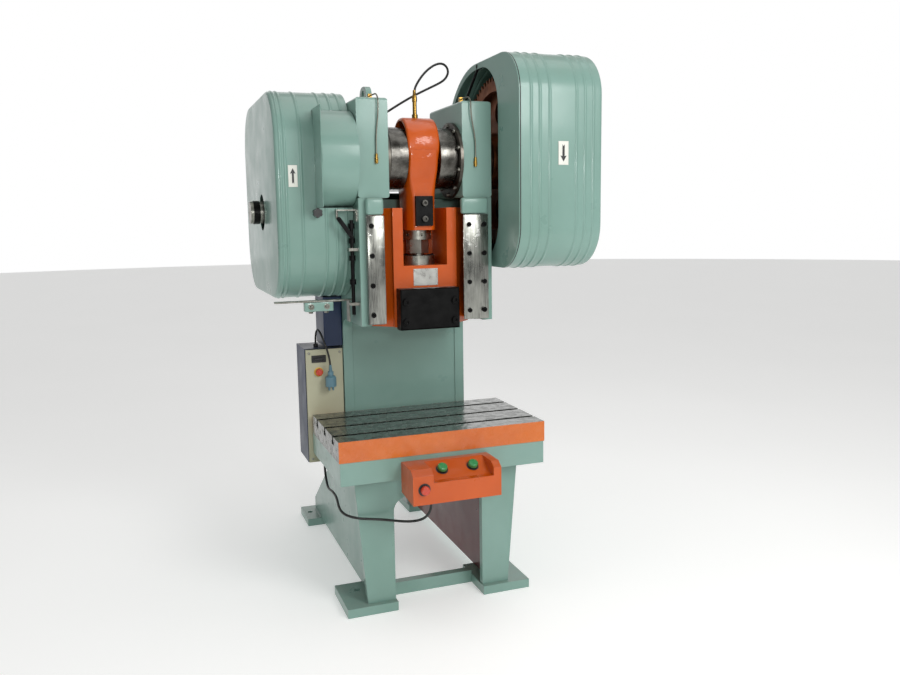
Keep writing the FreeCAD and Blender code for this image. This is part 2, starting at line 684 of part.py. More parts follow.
def make_back_shaft():
    y, z = back_shaft_y(), S.shaft_z
    end = S.gear_left + S.gear_face + 60
    turned("back_shaft", "X", y, z, [
        (S.shaft_left_end, 0), (end, 0), (end, S.shaft_radius), (S.shaft_left_end, S.shaft_radius)])
    inner = S.shaft_radius + S.run_gap
    turned("shaft_housing", "X", y, z, [
        (-S.housing_end, inner), (S.housing_end, inner), (S.housing_end, S.housing_radius),
        (-S.housing_end, S.housing_radius)])
    left, right = S.flywheel_left, S.flywheel_left + S.flywheel_width
    middle = (left + right) / 2
    web_left, web_right = middle - S.flywheel_web / 2, middle + S.flywheel_web / 2
    rim = S.flywheel_radius - S.flywheel_rim
    groove = S.belt_width + 2
    profile = [
        (left, S.shaft_radius), (right + 40, S.shaft_radius), (right + 40, S.flywheel_hub_radius),
        (web_right, S.flywheel_hub_radius), (web_right, rim), (right, rim), (right, S.flywheel_radius)]
    for index in (1, 0, -1):
        centre = middle + index * S.belt_pitch
        profile += [(centre + groove / 2, S.flywheel_radius), (centre + groove / 2 - 4, S.flywheel_radius - 14),
                    (centre - groove / 2 + 4, S.flywheel_radius - 14), (centre - groove / 2, S.flywheel_radius)]
    profile += [(left, S.flywheel_radius), (left, rim), (web_left, rim), (web_left, S.flywheel_hub_radius),
                (left, S.flywheel_hub_radius)]
    turned("flywheel", "X", y, z, profile)


def make_motor():
    y, z = S.motor_y, S.motor_z
    middle = S.flywheel_left + S.flywheel_width / 2
    half = S.belt_pitch * 1.9
    groove = S.belt_width + 2
    profile = [(middle - half, 19), (middle + half, 19), (middle + half, S.pulley_radius)]
    for index in (1, 0, -1):
        centre = middle + index * S.belt_pitch
        profile += [(centre + groove / 2, S.pulley_radius), (centre + groove / 2 - 4, S.pulley_radius - 14),
                    (centre - groove / 2 + 4, S.pulley_radius - 14), (centre - groove / 2, S.pulley_radius)]
    profile.append((middle - half, S.pulley_radius))
    turned("motor_pulley", "X", y, z, profile)
    shaft_end = S.motor_left + 30
    turned("motor_shaft", "X", y, z, [
        (middle - half - 6, 0), (shaft_end, 0), (shaft_end, 19), (middle - half - 6, 19)])
    end = S.motor_left + S.motor_length
    barrel = turned("motor_barrel", "X", y, z, [
        (S.motor_left, 19 + S.run_gap), (shaft_end + 1, 19 + S.run_gap), (shaft_end + 1, 0), (end, 0),
        (end, S.motor_radius * 0.86), (end - 18, S.motor_radius), (S.motor_left + 18, S.motor_radius),
        (S.motor_left, S.motor_radius * 0.8)])
    NODES.remove(barrel)
    foot_z = z - S.motor_radius - 20
    foot = box("motor_foot", S.motor_left + 60, y - 70, foot_z, S.motor_length - 120, 140, 60)
    node(fuse("motor_body", barrel, foot), "motor_housing")
    rear = S.throat_front + S.waist_depth
    cross_plate("motor_shelf", "Z", foot_z - S.shelf_thick, S.shelf_thick, rear, y + S.motor_radius,
                S.shelf_half_width)


def make_belts():
    """V-belts: closed loops of two straight runs and two arcs round the flywheel and the pulley."""
    big_y, big_z = float(back_shaft_y()), float(S.shaft_z)
    small_y, small_z = float(S.motor_y), float(S.motor_z)
    depth = 10.0
    gap = 14.0 - depth + 0.6
    big, small = float(S.flywheel_radius) - gap, float(S.pulley_radius) - gap
    middle = float(S.flywheel_left) + float(S.flywheel_width) / 2
    loops = []
    for index in (-1, 0, 1):
        x = middle + index * float(S.belt_pitch) - float(S.belt_width) / 2 + 3.2
        rings = []
        for extra in (0.0, depth):
            rings.append(belt_loop(x, big_y, big_z, big - 4 + extra, small_y, small_z, small - 4 + extra))
        face = Part.Face(rings[1]).cut(Part.Face(rings[0]))
        loops.append(face.extrude(Vector(float(S.belt_width) - 6.4, 0, 0)))
    shaped("v_belts", Part.makeCompound(loops))


def belt_loop(x, y1, z1, r1, y2, z2, r2):
    span = hypot(y2 - y1, z2 - z1)
    heading = atan2(z2 - z1, y2 - y1)
    lean = pi / 2 - atan2(r1 - r2, (span ** 2 - (r1 - r2) ** 2) ** 0.5)
    up, down = heading + lean, heading - lean

    def at(y, z, r, angle):
        return Vector(x, y + r * cos(angle), z + r * sin(angle))

    edges = [
        Part.Arc(at(y1, z1, r1, up), at(y1, z1, r1, heading + pi), at(y1, z1, r1, down)).toShape(),
        Part.LineSegment(at(y1, z1, r1, down), at(y2, z2, r2, down)).toShape(),
        Part.Arc(at(y2, z2, r2, down), at(y2, z2, r2, heading), at(y2, z2, r2, up)).toShape(),
        Part.LineSegment(at(y2, z2, r2, up), at(y1, z1, r1, up)).toShape()]
    return Part.Wire(Part.__sortEdges__(edges))


# ---------------------------------------------------------------- rod, screw and ram

def make_rod():
    y = float(S.crank_y)
    top_z = float(S.crank_z) + float(S.stroke) / 2
    foot, wide = float(S.rod_foot_z), float(S.boss_half_width)
    narrow = float(S.rod_foot_half_width)
    boss = solid_cylinder(-wide, y, top_z, S.boss_radius, wide * 2, "X")
    neck, root = float(S.rod_neck_half_depth), float(S.rod_foot_half_depth)
    widens = float(S.rod_widens_at)
    side = Part.Face(Part.makePolygon([
        Vector(-wide, y - root, foot), Vector(-wide, y + root, foot), Vector(-wide, y + root, widens),
        Vector(-wide, y + neck, top_z), Vector(-wide, y - neck, top_z), Vector(-wide, y - root, foot)
    ])).extrude(X_WAY * (wide * 2))
    shoulder = foot + 0.45 * (top_z - foot)
    front = Part.Face(Part.makePolygon([
        Vector(-narrow, y - neck - 1, foot), Vector(narrow, y - neck - 1, foot),
        Vector(wide, y - neck - 1, shoulder), Vector(wide, y - neck - 1, top_z),
        Vector(-wide, y - neck - 1, top_z), Vector(-wide, y - neck - 1, shoulder),
        Vector(-narrow, y - neck - 1, foot)])).extrude(Y_WAY * (neck * 2 + 2))
    rib_half = float(S.rod_rib_half_width)
    face = y - neck - float(S.rod_rib_rise)
    rib = solid_box(-rib_half, face, foot, rib_half, y, top_z)
    shank = side.common(front).fuse(rib)
    bore_radius = float(S.pin_radius) + float(S.big_end_clearance)
    bore = solid_cylinder(-wide - 1, y, top_z, bore_radius, wide * 2 + 2, "X")
    screw_bore = solid_cylinder(0, y, foot - 1, float(S.screw_radius) + float(S.run_gap),
                                float(S.screw_bore_depth), "Z")
    rod = boss.fuse(shank).removeSplitter().cut(bore).cut(screw_bore)
    shaped("connecting_rod", rod)
    plate_half, plate_face = float(S.clamp_plate_half_width), face - float(S.clamp_plate_thick)
    shaped("rod_clamp_plate", solid_box(-plate_half, plate_face, foot + 18, plate_half, face, foot + 146))
    screws("rod_clamp_bolts", [Vector(0, plate_face, foot + 48), Vector(0, plate_face, foot + 116)], 13.0, 11.0)
    tip = top_z + float(S.boss_radius)
    pieces = [solid_cylinder(0, y, tip - 1, 13, 16, "Z"), solid_cylinder(0, y, tip + 15, 9, 55, "Z"),
              solid_cylinder(0, y, tip + 70, 11, 22, "Z")]
    fitting = pieces[0].fuse(pieces[1:])
    shaped("grease_fitting", fitting.cut(boss))


def make_screw():
    y = float(S.crank_y)
    seat = float(S.seat_z)
    ball = seat - 50
    foot = float(S.rod_foot_z)
    cap_top = seat + float(S.cap_height)
    ring_low = foot - float(S.lock_ring_height)
    neck = 30.0
    sphere = Part.makeSphere(float(S.ball_radius), Vector(0, y, ball))
    flats = []
    for step in range(7):
        angle = radians(60 * step + 30)
        reach = float(S.hex_across) / 2 / cos(radians(30))
        flats.append(Vector(reach * cos(angle), y + reach * sin(angle), cap_top + 10))
    hexagon = Part.Face(Part.makePolygon(flats)).extrude(Z_WAY * (ring_low - cap_top - 10))
    thread = solid_cylinder(0, y, ring_low - 1, S.screw_radius, foot + 165 - ring_low, "Z")
    stem = solid_cylinder(0, y, ball, neck, cap_top + 11 - ball, "Z")
    screw = sphere.fuse([stem, hexagon, thread]).removeSplitter()
    ring = solid_cylinder(0, y, ring_low, S.lock_ring_radius, S.lock_ring_height, "Z")
    ring = ring.cut(solid_cylinder(0, y, ring_low - 1, float(S.screw_radius) + float(S.run_gap), 60, "Z"))
    for step in range(6):
        angle = radians(60 * step + 90)
        start = Vector(0, y, ring_low + float(S.lock_ring_height) / 2)
        way = Vector(cos(angle), sin(angle), 0)
        ring = ring.cut(Part.makeCylinder(7, 16, start + way * (float(S.lock_ring_radius) - 14), way))
    shaped("adjusting_screw", screw)
    shaped("lock_ring", ring)
    ball_gap = float(S.ball_radius) + float(S.run_gap)
    hollow = Part.makeSphere(ball_gap, Vector(0, y, ball))
    cup = solid_cylinder(0, y, ball - 56, 54, 56, "Z").cut(hollow)
    shaped("ball_cup", cup)
    collar = solid_cylinder(0, y, ball, 54, seat - ball, "Z")
    flange = solid_cylinder(0, y, seat, S.cap_radius, S.cap_height, "Z")
    mouth = Part.makeCone(37, 62, cap_top - ball - 24, Vector(0, y, ball + 25), Z_WAY)
    shaped("ball_retainer", collar.fuse(flange).cut(hollow).cut(mouth))
    spots = []
    for step in range(6):
        angle = radians(60 * step)
        spots.append(Vector(68 * cos(angle), y + 68 * sin(angle), cap_top))
    return screws("retainer_screws", spots, 6.5, 6.0, "Z", 1)


def make_ram(retainer_screws):
    y, tip = S.crank_y, S.way_reach
    half, deep, cheek = S.ram_half_width, S.ram_half_depth, S.ram_cheek_half
    side = [(half, y - deep), (half, y - cheek), (tip, y - S.way_tip), (tip, y + S.way_tip),
            (half, y + cheek), (half, y + deep)]
    outline = side + [(-x, b) for x, b in reversed(side)]
    ram = padded("ram", "Z", S.ram_bottom, S.ram_top - S.ram_bottom, outline)
    inner = half - S.ram_wall
    pocketed(ram, "Z", S.seat_z, S.ram_top - S.seat_z, [
        (-inner, y - deep - 5), (inner, y - deep - 5), (inner, y + deep - S.ram_back_wall),
        (-inner, y + deep - S.ram_back_wall)])
    pocket_round(ram, (0, y), S.ball_seat_radius, S.seat_z - S.ball_seat_depth, S.ball_seat_depth)
    pocket_round(ram, (0, y), S.shank_radius, S.ram_bottom, S.shank_depth)
    face = float(y) - float(deep)
    low, high = float(S.die_clamp_bottom), float(S.die_clamp_bottom) + float(S.die_clamp_height)
    wide, thick = float(S.die_clamp_half_width), float(S.die_clamp_thick)
    clamp = solid_box(-wide, face - thick, low, wide, face, high)
    edges = [edge for edge in clamp.Edges if near(edge.CenterOfMass.y, face - thick)]
    shaped("die_clamp", clamp.makeChamfer(6, edges))
    spots = [Vector(side * (wide - 24), face - thick, level) for side in (-1, 1)
             for level in (low + 36, high - 56)]
    grouped("ram_screws", [retainer_screws, screws("die_clamp_bolts", spots, 15.0, 12.0)])


def pocket_round(body, centre, radius, start, length):
    """Cuts a round hole along Z out of a padded body."""
    start, length = dim(start), dim(length)
    sketch = new_sketch(body, "XY_Plane", start + length)
    draw_circle(sketch, centre, radius)
    before = body.Shape.Volume
    pocket = body.newObject("PartDesign::Pocket", body.Name + "_bore")
    pocket.Profile = sketch
    pocket.Length = length.value
    bind(pocket, "Length", length)
    body.Tip = pocket
    doc.recompute()
    if body.Shape.Volume >= before - 1e-6:
        raise RuntimeError("round pocket cuts nothing in " + body.Label)


# ---------------------------------------------------------------- covers

def guard_solid(left, right, front, back, low, high, rounds):
    """A block with rounded corners seen from the side. rounds: front top, back top, back low, front low."""
    corners = [(front, high), (back, high), (back, low), (front, low)]
    points = []
    for (cy, cz), radius in zip(corners, rounds):
        points.append((Vector(left, cy, cz), radius))
    edges = []
    arcs = []
    count = len(points)
    for index, (corner, radius) in enumerate(points):
        before = (points[index - 1][0] - corner).normalize()
        after = (points[(index + 1) % count][0] - corner).normalize()
        start, stop = corner + before * radius, corner + after * radius
        middle = corner + (before + after).normalize() * (radius * (2 ** 0.5 - 1))
        arcs.append((start, middle, stop))
    for index, (start, middle, stop) in enumerate(arcs):
        edges.append(Part.Arc(start, middle, stop).toShape())
        edges.append(Part.LineSegment(stop, arcs[(index + 1) % count][0]).toShape())
    return Part.Face(Part.Wire(edges)).extrude(X_WAY * (right - left))


def make_flywheel_guard():
    left, right = float(S.fly_guard_left), float(S.fly_guard_right)
    front, back = float(S.fly_guard_front), float(S.fly_guard_back)
    low, high, curve = float(S.fly_guard_bottom), float(S.fly_guard_top), float(S.fly_guard_round)
    sheet_wall = float(S.sheet_thick)
    crank_y, crank_z = float(S.crank_y), float(S.crank_z)
    outer = guard_solid(left, right, front, back, low, high, [curve] * 4)
    inner = guard_solid(left + sheet_wall, right + 1, front + sheet_wall, back - sheet_wall,
                        low + sheet_wall, high - sheet_wall, [curve - sheet_wall] * 4)
    cover_radius = float(S.brake_cover_radius)
    clear = solid_cylinder(float(S.brake_cover_left) - 1, crank_y, crank_z, cover_radius + 0.5, 400, "X")
    shaft_y, shaft_z = float(back_shaft_y()), float(S.shaft_z)
    hole_radius = float(S.shaft_radius) + float(S.guard_shaft_gap)
    shaft_hole = solid_cylinder(left - 1, shaft_y, shaft_z, hole_radius, 10, "X")
    knob_x, knob_z, knob_radius, stem_radius = float(S.knob_x), float(S.knob_z), float(S.knob_radius), 5.0
    knob_hole = solid_cylinder(knob_x, front - 1, knob_z, stem_radius + float(S.run_gap), 10, "Y")
    shaped("flywheel_guard", outer.cut(inner).cut(clear).cut(shaft_hole).cut(knob_hole))
    cover_left = float(S.brake_cover_left)
    drum = solid_cylinder(cover_left, crank_y, crank_z, cover_radius, right - cover_left, "X")
    hollow = solid_cylinder(cover_left + sheet_wall, crank_y, crank_z, cover_radius - sheet_wall, 400, "X")
    shaped("brake_cover", drum.cut(hollow))
    thick, near_side = float(S.guard_foot_thick), front + 30
    far_side = near_side + float(S.guard_foot_width)
    mount_z = low - thick
    strip = solid_box(left - 20, near_side, mount_z, right, far_side, low)
    leg = solid_box(right - 20 - thick, near_side, mount_z - 92, right - 20, far_side, mount_z)
    for step in range(7):
        x = left + 10 + step * 42
        strip = strip.cut(solid_box(x, near_side + 15, mount_z - 1, x + 26, far_side - 15, low + 1))
    bracket = shaped("guard_bracket", strip.fuse(leg).removeSplitter())
    knob_y = front - 26
    knob = solid_cylinder(knob_x, knob_y, knob_z, knob_radius, 16, "Y")
    for step in range(6):
        angle = radians(60 * step)
        reach = knob_radius + 3
        notch = (knob_x + reach * cos(angle), knob_y - 1, knob_z + reach * sin(angle))
        knob = knob.cut(solid_cylinder(*notch, 6, 20, "Y"))
    stem = solid_cylinder(knob_x, knob_y + 15, knob_z, stem_radius, 30, "Y")
    shaped("guard_knob", knob.fuse(stem).removeSplitter())
    return bracket


def make_gear_guard():
    left, right = float(S.gear_guard_left), float(S.gear_guard_right)
    front, back = float(S.gear_guard_front), float(S.gear_guard_back)
    low, high = float(S.gear_guard_bottom), float(S.gear_guard_top)
    curve, rear_curve = float(S.gear_guard_round), float(S.gear_guard_rear_round)
    wall = float(S.sheet_thick)
    rounds = [curve, rear_curve, curve * 0.6, curve]
    outer = guard_solid(left, right, front, back, low, high, rounds)
    inner = guard_solid(left + wall, right - wall, front + wall, back - wall, low + wall, high - wall,
                        [radius - wall for radius in rounds])
    lip = float(S.gear_guard_lip)
    opening = guard_solid(left - 1, left + wall + 1, front + lip, back - 30, low + 30, high - 30,
                          [curve, rear_curve - 30, curve * 0.5, curve])
    shaped("gear_guard", outer.cut(inner).cut(opening))


# ---------------------------------------------------------------- cabinet, console and small gear

def make_cabinet():
    left, right = S.cabinet_left, -S.frame_half_width
    front = S.cabinet_front + S.door_thick
    back = S.cabinet_front + S.cabinet_depth
    low, top = S.cabinet_bottom, S.cabinet_bottom + S.cabinet_height
    shell = padded("cabinet_box", "Z", low, S.cabinet_height,
                   [(left, front), (right, front), (right, back), (left, back)])
    wall = S.cabinet_sheet
    pocketed(shell, "Y", front, S.cabinet_depth - S.door_thick - wall, [
        (left + wall, low + wall), (right - wall, low + wall), (right - wall, top - wall),
        (left + wall, top - wall)])
    margin = S.door_margin
    button_x, button_z = left + 60, low + 432
    padded("cabinet_panel", "Y", S.cabinet_front, S.door_thick, [
        (left + margin, low + margin), (right - margin, low + margin), (right - margin, top - margin),
        (left + margin, top - margin)], [((button_x, button_z), dim(8.0) + S.run_gap)])
    front_y = float(S.cabinet_front)
    turned_button("cabinet_button", float(button_x), front_y, float(button_z), Vector(0, -1, 0), 17.0, 8.0, 14.0)
    depth = float(S.lubricator_depth)
    x0 = -float(S.frame_half_width) - float(S.lubricator_width)
    pump = solid_box(x0, S.lubricator_front, S.lubricator_bottom, -float(S.frame_half_width),
                     float(S.lubricator_front) + depth, float(S.lubricator_bottom) + float(S.lubricator_height))
    upright = [edge for edge in pump.Edges if along(edge, Z_WAY)]
    shaped("lubricator", pump.makeFillet(9, upright))


def turned_button(label, x, y, z, out, head_radius, stem_radius, rise):
    """A push button: a crowned head standing clear of its panel by its travel, on a stem through it."""
    clear = float(S.palm_travel) + 1.5
    seat = Vector(x, y, z)
    stem = Part.makeCylinder(stem_radius, clear + 12, seat - out * 12, out)
    head = Part.makeCylinder(head_radius, rise, seat + out * clear, out)
    rim = [edge for edge in head.Edges if (edge.CenterOfMass - seat).dot(out) > clear + rise - 0.1]
    head = head.makeFillet(rise * 0.45, rim)
    return shaped(label, stem.fuse(head))


def make_console():
    x0, length = float(S.console_left), float(S.console_length)
    back, top = float(S.bed_front), float(S.console_top)
    low = top - float(S.console_drop) + 10
    front = back - 160
    full = [(back, low), (front, low - 12), (front, top - 22), (front + 30, top), (back, top)]
    step = float(S.console_step)
    bar = [(back, low), (front, low - 12), (front, top - step), (front + 34, top - step), (back - 34, top),
           (back, top)]

    def prism(points, start, wide):
        corners = [Vector(start, a, b) for a, b in points]
        return Part.Face(Part.makePolygon(corners + corners[:1])).extrude(X_WAY * wide)

    left_block, right_block = 88.0, 34.0
    body = prism(full, x0, left_block).fuse([
        prism(bar, x0 + left_block, length - left_block - right_block),
        prism(full, x0 + length - right_block, right_block)]).removeSplitter()
    wall = 4.0
    hollow = prism([(back + 1, low + wall), (front + wall, low - 12 + wall), (front + wall, top - step - wall),
                    (front + 34, top - step - wall), (back - 36, top - wall - 3), (back + 1, top - wall - 3)],
                   x0 + wall, length - 2 * wall)
    box_shape = body.cut(hollow)
    run, rise = (back - 34) - (front + 34), step
    slope = Vector(0, run, rise).normalize()
    out = Vector(0, -slope.z, slope.y)
    middle = Vector(0, (back + front) / 2, top - step / 2)
    for label, x in (("palm_button_left", -48.0), ("palm_button_right", 88.0)):
        seat = Vector(x, middle.y, middle.z)
        box_shape = box_shape.cut(Part.makeCylinder(9 + float(S.run_gap), 60, seat - out * 30, out))
        turned_button(label, seat.x, seat.y, seat.z, out, float(S.palm_radius), 9.0, 16.0)
    stop = Vector(x0 + left_block / 2 + 4, front, low + 52)
    box_shape = box_shape.cut(Part.makeCylinder(9 + float(S.run_gap), 30, stop + Y_WAY * 15, -Y_WAY))
    turned_button("stop_button", stop.x, stop.y, stop.z, Vector(0, -1, 0), 19.0, 9.0, 15.0)
    shaped("console_box", box_shape)
    exit_x, exit_y, exit_z = CONSOLE_CABLE[0]
    gland = Part.makeCone(10, 13, 40, Vector(exit_x, exit_y, exit_z), Z_WAY)
    return shaped("console_gland", gland.cut(body))


def make_lever_gear():
    right = -float(S.frame_half_width)
    level = float(S.crank_z) - float(S.brake_cover_radius) - 14
    front = -592.0
    top_leg = solid_box(right - 88, front, level, right, front + 36, level + 6)
    wall_leg = solid_box(right - 6, front, level - 44, right, front + 36, level)
    brackets = [shaped("lever_bracket", top_leg.fuse(wall_leg).removeSplitter())]
    rod_x, rod_y = right - 24, -583.0
    rod = solid_cylinder(rod_x, rod_y, 1290, 8, 400, "Z")
    collars = [solid_cylinder(rod_x, rod_y, height, 14, 22, "Z") for height in (1419, 1520, 1592, 1654)]
    shaped("clutch_rod", rod.fuse(collars).removeSplitter())
    rod_hole = solid_cylinder(rod_x, rod_y, 1200, 8 + float(S.run_gap), 600, "Z")
    for name, height in (("low", 1330.0), ("high", 1560.0)):
        arm = solid_box(rod_x - 16, rod_y - 16, height, right, rod_y + 16, height + 12)
        brackets.append(shaped("rod_guide_" + name, arm.cut(rod_hole)))
    return brackets


def make_oil_tubes():
    front = float(S.block_front)
    top = float(S.block_seat) + float(S.block_height)
    radius = float(S.oil_tube_radius)
    fittings, tubes = [], []
    for name, x, low in (("left", -219.0, 1945.0), ("right", 224.0, 1935.0)):
        fitting = solid_cylinder(x, front - 7, low - 24, 6, 40, "Z")
        block = solid_box(x - 7, front - 8, low - 20, x + 7, front, low)
        fittings.append(shaped("oil_fitting_" + name, fitting.fuse(block).removeSplitter()))
        lean = 10 if x < 0 else -22
        over = top + 16
        nipple = front + 78
        tubes.append(route_tube("oil_tube_" + name, [
            (x, front - 7, low + 16), (x, front - 7, low + 90), (x + lean, front - 13, top - 58),
            (x + lean, front - 13, over), (x + lean - 8, front + 60, over), (x + lean - 8, nipple, over)], radius))
        elbow = solid_box(x + lean - 16, nipple, top, x + lean, nipple + 18, over + 8)
        fittings.append(shaped("oil_elbow_" + name, elbow))
    grouped("oil_tubes", tubes)
    return fittings


def make_cords(fittings, console_gland):
    route_tube("grease_hose_fixed", HOSE_FIXED, float(S.hose_radius))
    route_tube("grease_hose_moving", HOSE_MOVING, float(S.hose_radius))
    x, y, z = HOSE_FIXED[0]
    start = -float(S.block_inner)
    union = shaped("hose_union", solid_cylinder(start, y, z, 10, x - start, "X"))
    grouped("oil_fittings", fittings + [union])
    route_tube("console_cable", CONSOLE_CABLE, float(S.cable_radius))
    route_tube("power_cord", POWER_CORD, float(S.cord_radius))
    make_plug()
    x, y, z = POWER_CORD[0]
    top = float(S.cabinet_bottom) + float(S.cabinet_height)
    glands = [console_gland, shaped("cord_gland", solid_cylinder(x, y, top, 11, z - top, "Z"))]
    x, y, z = CONSOLE_CABLE[-1]
    glands.append(shaped("cable_gland", solid_cylinder(x, y, z, 12, float(S.cabinet_bottom) - z, "Z")))
    grouped("cable_glands", glands)


def make_plug():
    x, y, z = POWER_CORD[-1]
    collar = solid_cylinder(x, y, z - 22, 13, 22, "Z")
    body = solid_cylinder(x, y, z - 70, 25, 50, "Z")
    edges = [edge for edge in body.Edges if near(edge.CenterOfMass.z, z - 20)]
    body = body.makeChamfer(7, edges)
    pins = []
    for step in range(4):
        angle = radians(90 * step + 45)
        pins.append(solid_cylinder(x + 13 * cos(angle), y + 13 * sin(angle), z - 88, 3, 20, "Z"))
    shaped("power_plug", collar.fuse([body] + pins).removeSplitter())


HOSE_FIXED = [
    (-140, -262, 2150), (-110, -262, 2150), (-66, -276, 2176), (-16, -295, 2208), (38, -316, 2240),
    (90, -338, 2266), (136, -360, 2288)]
HOSE_MOVING = [
    (136, -360, 2288), (159, -371, 2299), (181, -381, 2316), (191, -391, 2340), (184, -399, 2361),
    (166, -407, 2374), (143, -415, 2376), (116, -424, 2367), (88, -434, 2350), (62, -445, 2329),
    (38, -457, 2304), (17, -468, 2277), (0, -478, 2249), (0, -478, 2219)]
CONSOLE_CABLE = [
    (-100, -902, 534), (-100, -902, 506), (-108, -888, 474), (-124, -863, 448), (-150, -832, 432),
    (-184, -800, 424), (-226, -770, 424), (-272, -748, 428), (-318, -738, 433), (-360, -734, 439),
    (-396, -718, 446), (-418, -690, 451), (-426, -652, 456), (-424, -604, 461), (-416, -548, 464),
    (-409, -490, 465), (-406, -432, 463),
    (-404, -376, 457), (-401, -328, 447), (-398, -290, 439), (-396, -258, 436), (-394, -228, 441),
    (-392, -202, 453), (-391, -180, 471), (-390, -166, 494), (-390, -162, 519), (-390, -162, 534)]
POWER_CORD = [
    (-412, -160, 1114), (-412, -160, 1138), (-412, -171, 1162), (-412, -193, 1180), (-411, -221, 1188),
    (-409, -248, 1182), (-404, -268, 1164), (-396, -280, 1138), (-386, -285, 1106), (-377, -286, 1070),
    (-371, -285, 1034), (-371, -285, 998)]


# ---------------------------------------------------------------- build and write

def main():
    make_feet()
    make_side_plates()
    make_front_leg_plate()
    make_cross_plates()
    make_bed()
    make_bearing_blocks()
    make_lug()
    make_gibs()
    make_crankshaft()
    make_gears()
    make_back_shaft()
    make_motor()
    make_belts()
    make_rod()
    make_ram(make_screw())
    small_brackets = [make_flywheel_guard()]
    make_gear_guard()
    make_cabinet()
    console_gland = make_console()
    grouped("small_brackets", small_brackets + make_lever_gear())
    make_cords(make_oil_tubes(), console_gland)
    doc.recompute()
    for item in doc.Objects:
        if "Invalid" in item.State or "Error" in item.State:
            raise RuntimeError("%s did not build: %s" % (item.Name, item.State))
    for item in NODES:
        if item.Shape.isNull() or not item.Shape.isValid():
            raise RuntimeError("no valid shape for " + item.Label)
    os.makedirs("parts", exist_ok=True)
    for item in NODES:
        item.Shape.exportStep(os.path.join("parts", item.Label + ".step"))
    print("%d nodes written" % len(NODES))


main()
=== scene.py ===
import json
from math import cos, pi, radians, sin

import bmesh
import bpy
from mathutils import Matrix, Vector


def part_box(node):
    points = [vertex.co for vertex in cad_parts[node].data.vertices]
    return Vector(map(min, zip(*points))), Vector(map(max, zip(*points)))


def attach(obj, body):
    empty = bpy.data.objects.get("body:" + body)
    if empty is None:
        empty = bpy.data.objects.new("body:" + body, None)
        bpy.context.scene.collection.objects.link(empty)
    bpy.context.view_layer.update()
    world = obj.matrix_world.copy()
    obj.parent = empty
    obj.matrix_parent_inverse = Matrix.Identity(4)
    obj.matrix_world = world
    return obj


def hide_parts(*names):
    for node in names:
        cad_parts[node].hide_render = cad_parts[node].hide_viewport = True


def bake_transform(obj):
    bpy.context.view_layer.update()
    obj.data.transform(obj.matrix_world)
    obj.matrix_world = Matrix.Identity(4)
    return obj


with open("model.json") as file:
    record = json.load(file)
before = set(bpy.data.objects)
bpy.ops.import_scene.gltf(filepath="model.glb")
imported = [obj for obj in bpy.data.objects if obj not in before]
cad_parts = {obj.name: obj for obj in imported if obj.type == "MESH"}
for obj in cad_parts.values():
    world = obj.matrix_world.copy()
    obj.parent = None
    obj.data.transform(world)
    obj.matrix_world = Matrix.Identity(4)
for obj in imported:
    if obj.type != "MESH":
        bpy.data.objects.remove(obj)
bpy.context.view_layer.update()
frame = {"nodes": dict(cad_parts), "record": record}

# Geared C-frame stamping press: paints, bare metals, sheet guards, hoses and small fittings.
# Metres. +X right, +Y back, +Z up, origin on the floor between the anchor holes.

NODES = frame["nodes"]
JOINTS = {joint["name"]: joint for joint in frame["record"]["behaviour"]["joints"]}
CRANK = Vector(JOINTS["crank_turn"]["pos_m"])
BACK_SHAFT = Vector(JOINTS["flywheel_turn"]["pos_m"])
MOTOR = Vector(JOINTS["rotor_turn"]["pos_m"])
X_WAY, Y_WAY, Z_WAY = Vector((1, 0, 0)), Vector((0, 1, 0)), Vector((0, 0, 1))


# ---------------------------------------------------------------- camera, light and floor

def make_camera():
    """A standing person's view from the front left."""
    yaw, pitch, roll = radians(20.134), radians(-8.066), radians(-0.844)
    ahead = Vector((sin(yaw) * cos(pitch), cos(yaw) * cos(pitch), sin(pitch)))
    level = Vector((cos(yaw), -sin(yaw), 0))
    over = level.cross(ahead)
    right = level * cos(roll) + over * sin(roll)
    up = over * cos(roll) - level * sin(roll)
    data = bpy.data.cameras.new("camera")
    data.sensor_width = 36
    data.lens = 33.68
    camera = bpy.data.objects.new("camera", data)
    spin = Matrix((right, up, -ahead)).transposed().to_4x4()
    camera.matrix_world = Matrix.Translation((-1.1708, -4.0777, 1.6916)) @ spin
    bpy.context.scene.collection.objects.link(camera)
    bpy.context.scene.camera = camera


def make_light(name, spot, target, size, watts):
    data = bpy.data.lights.new(name, "AREA")
    data.shape = "RECTANGLE"
    data.size, data.size_y = size
    data.energy = watts
    light = bpy.data.objects.new(name, data)
    light.location = spot
    light.rotation_euler = (Vector(target) - Vector(spot)).to_track_quat("-Z", "Y").to_euler()
    bpy.context.scene.collection.objects.link(light)


def make_studio():
    world = bpy.data.worlds.new("studio")
    world.use_nodes = True
    tree = world.node_tree
    way = add(tree, "ShaderNodeVectorMath", [("operation", "DOT_PRODUCT"), (1, (0.34, 0.94, 0.0))],
              [(0, add(tree, "ShaderNodeTexCoord").outputs["Generated"])]).outputs["Value"]
    tree.nodes["Background"].inputs["Color"].default_value = (1, 1, 1, 1)
    tree.links.new(span(tree, way, 0.76, 0.84, 0.36, 1.0), tree.nodes["Background"].inputs["Strength"])
    bpy.context.scene.world = world
    bpy.context.scene.view_settings.view_transform = "Standard"
    make_light("key", (1.6, -4.6, 3.4), (0, -0.4, 1.3), (1.8, 1.8), 100)
    make_light("front_fill", (-0.7, -4.6, 2.1), (0, -0.4, 1.3), (0.35, 0.35), 26)
    make_light("top", (0.3, -0.5, 5.2), (0, -0.2, 1.2), (3.5, 3.5), 40)


# ---------------------------------------------------------------- node and mesh helpers

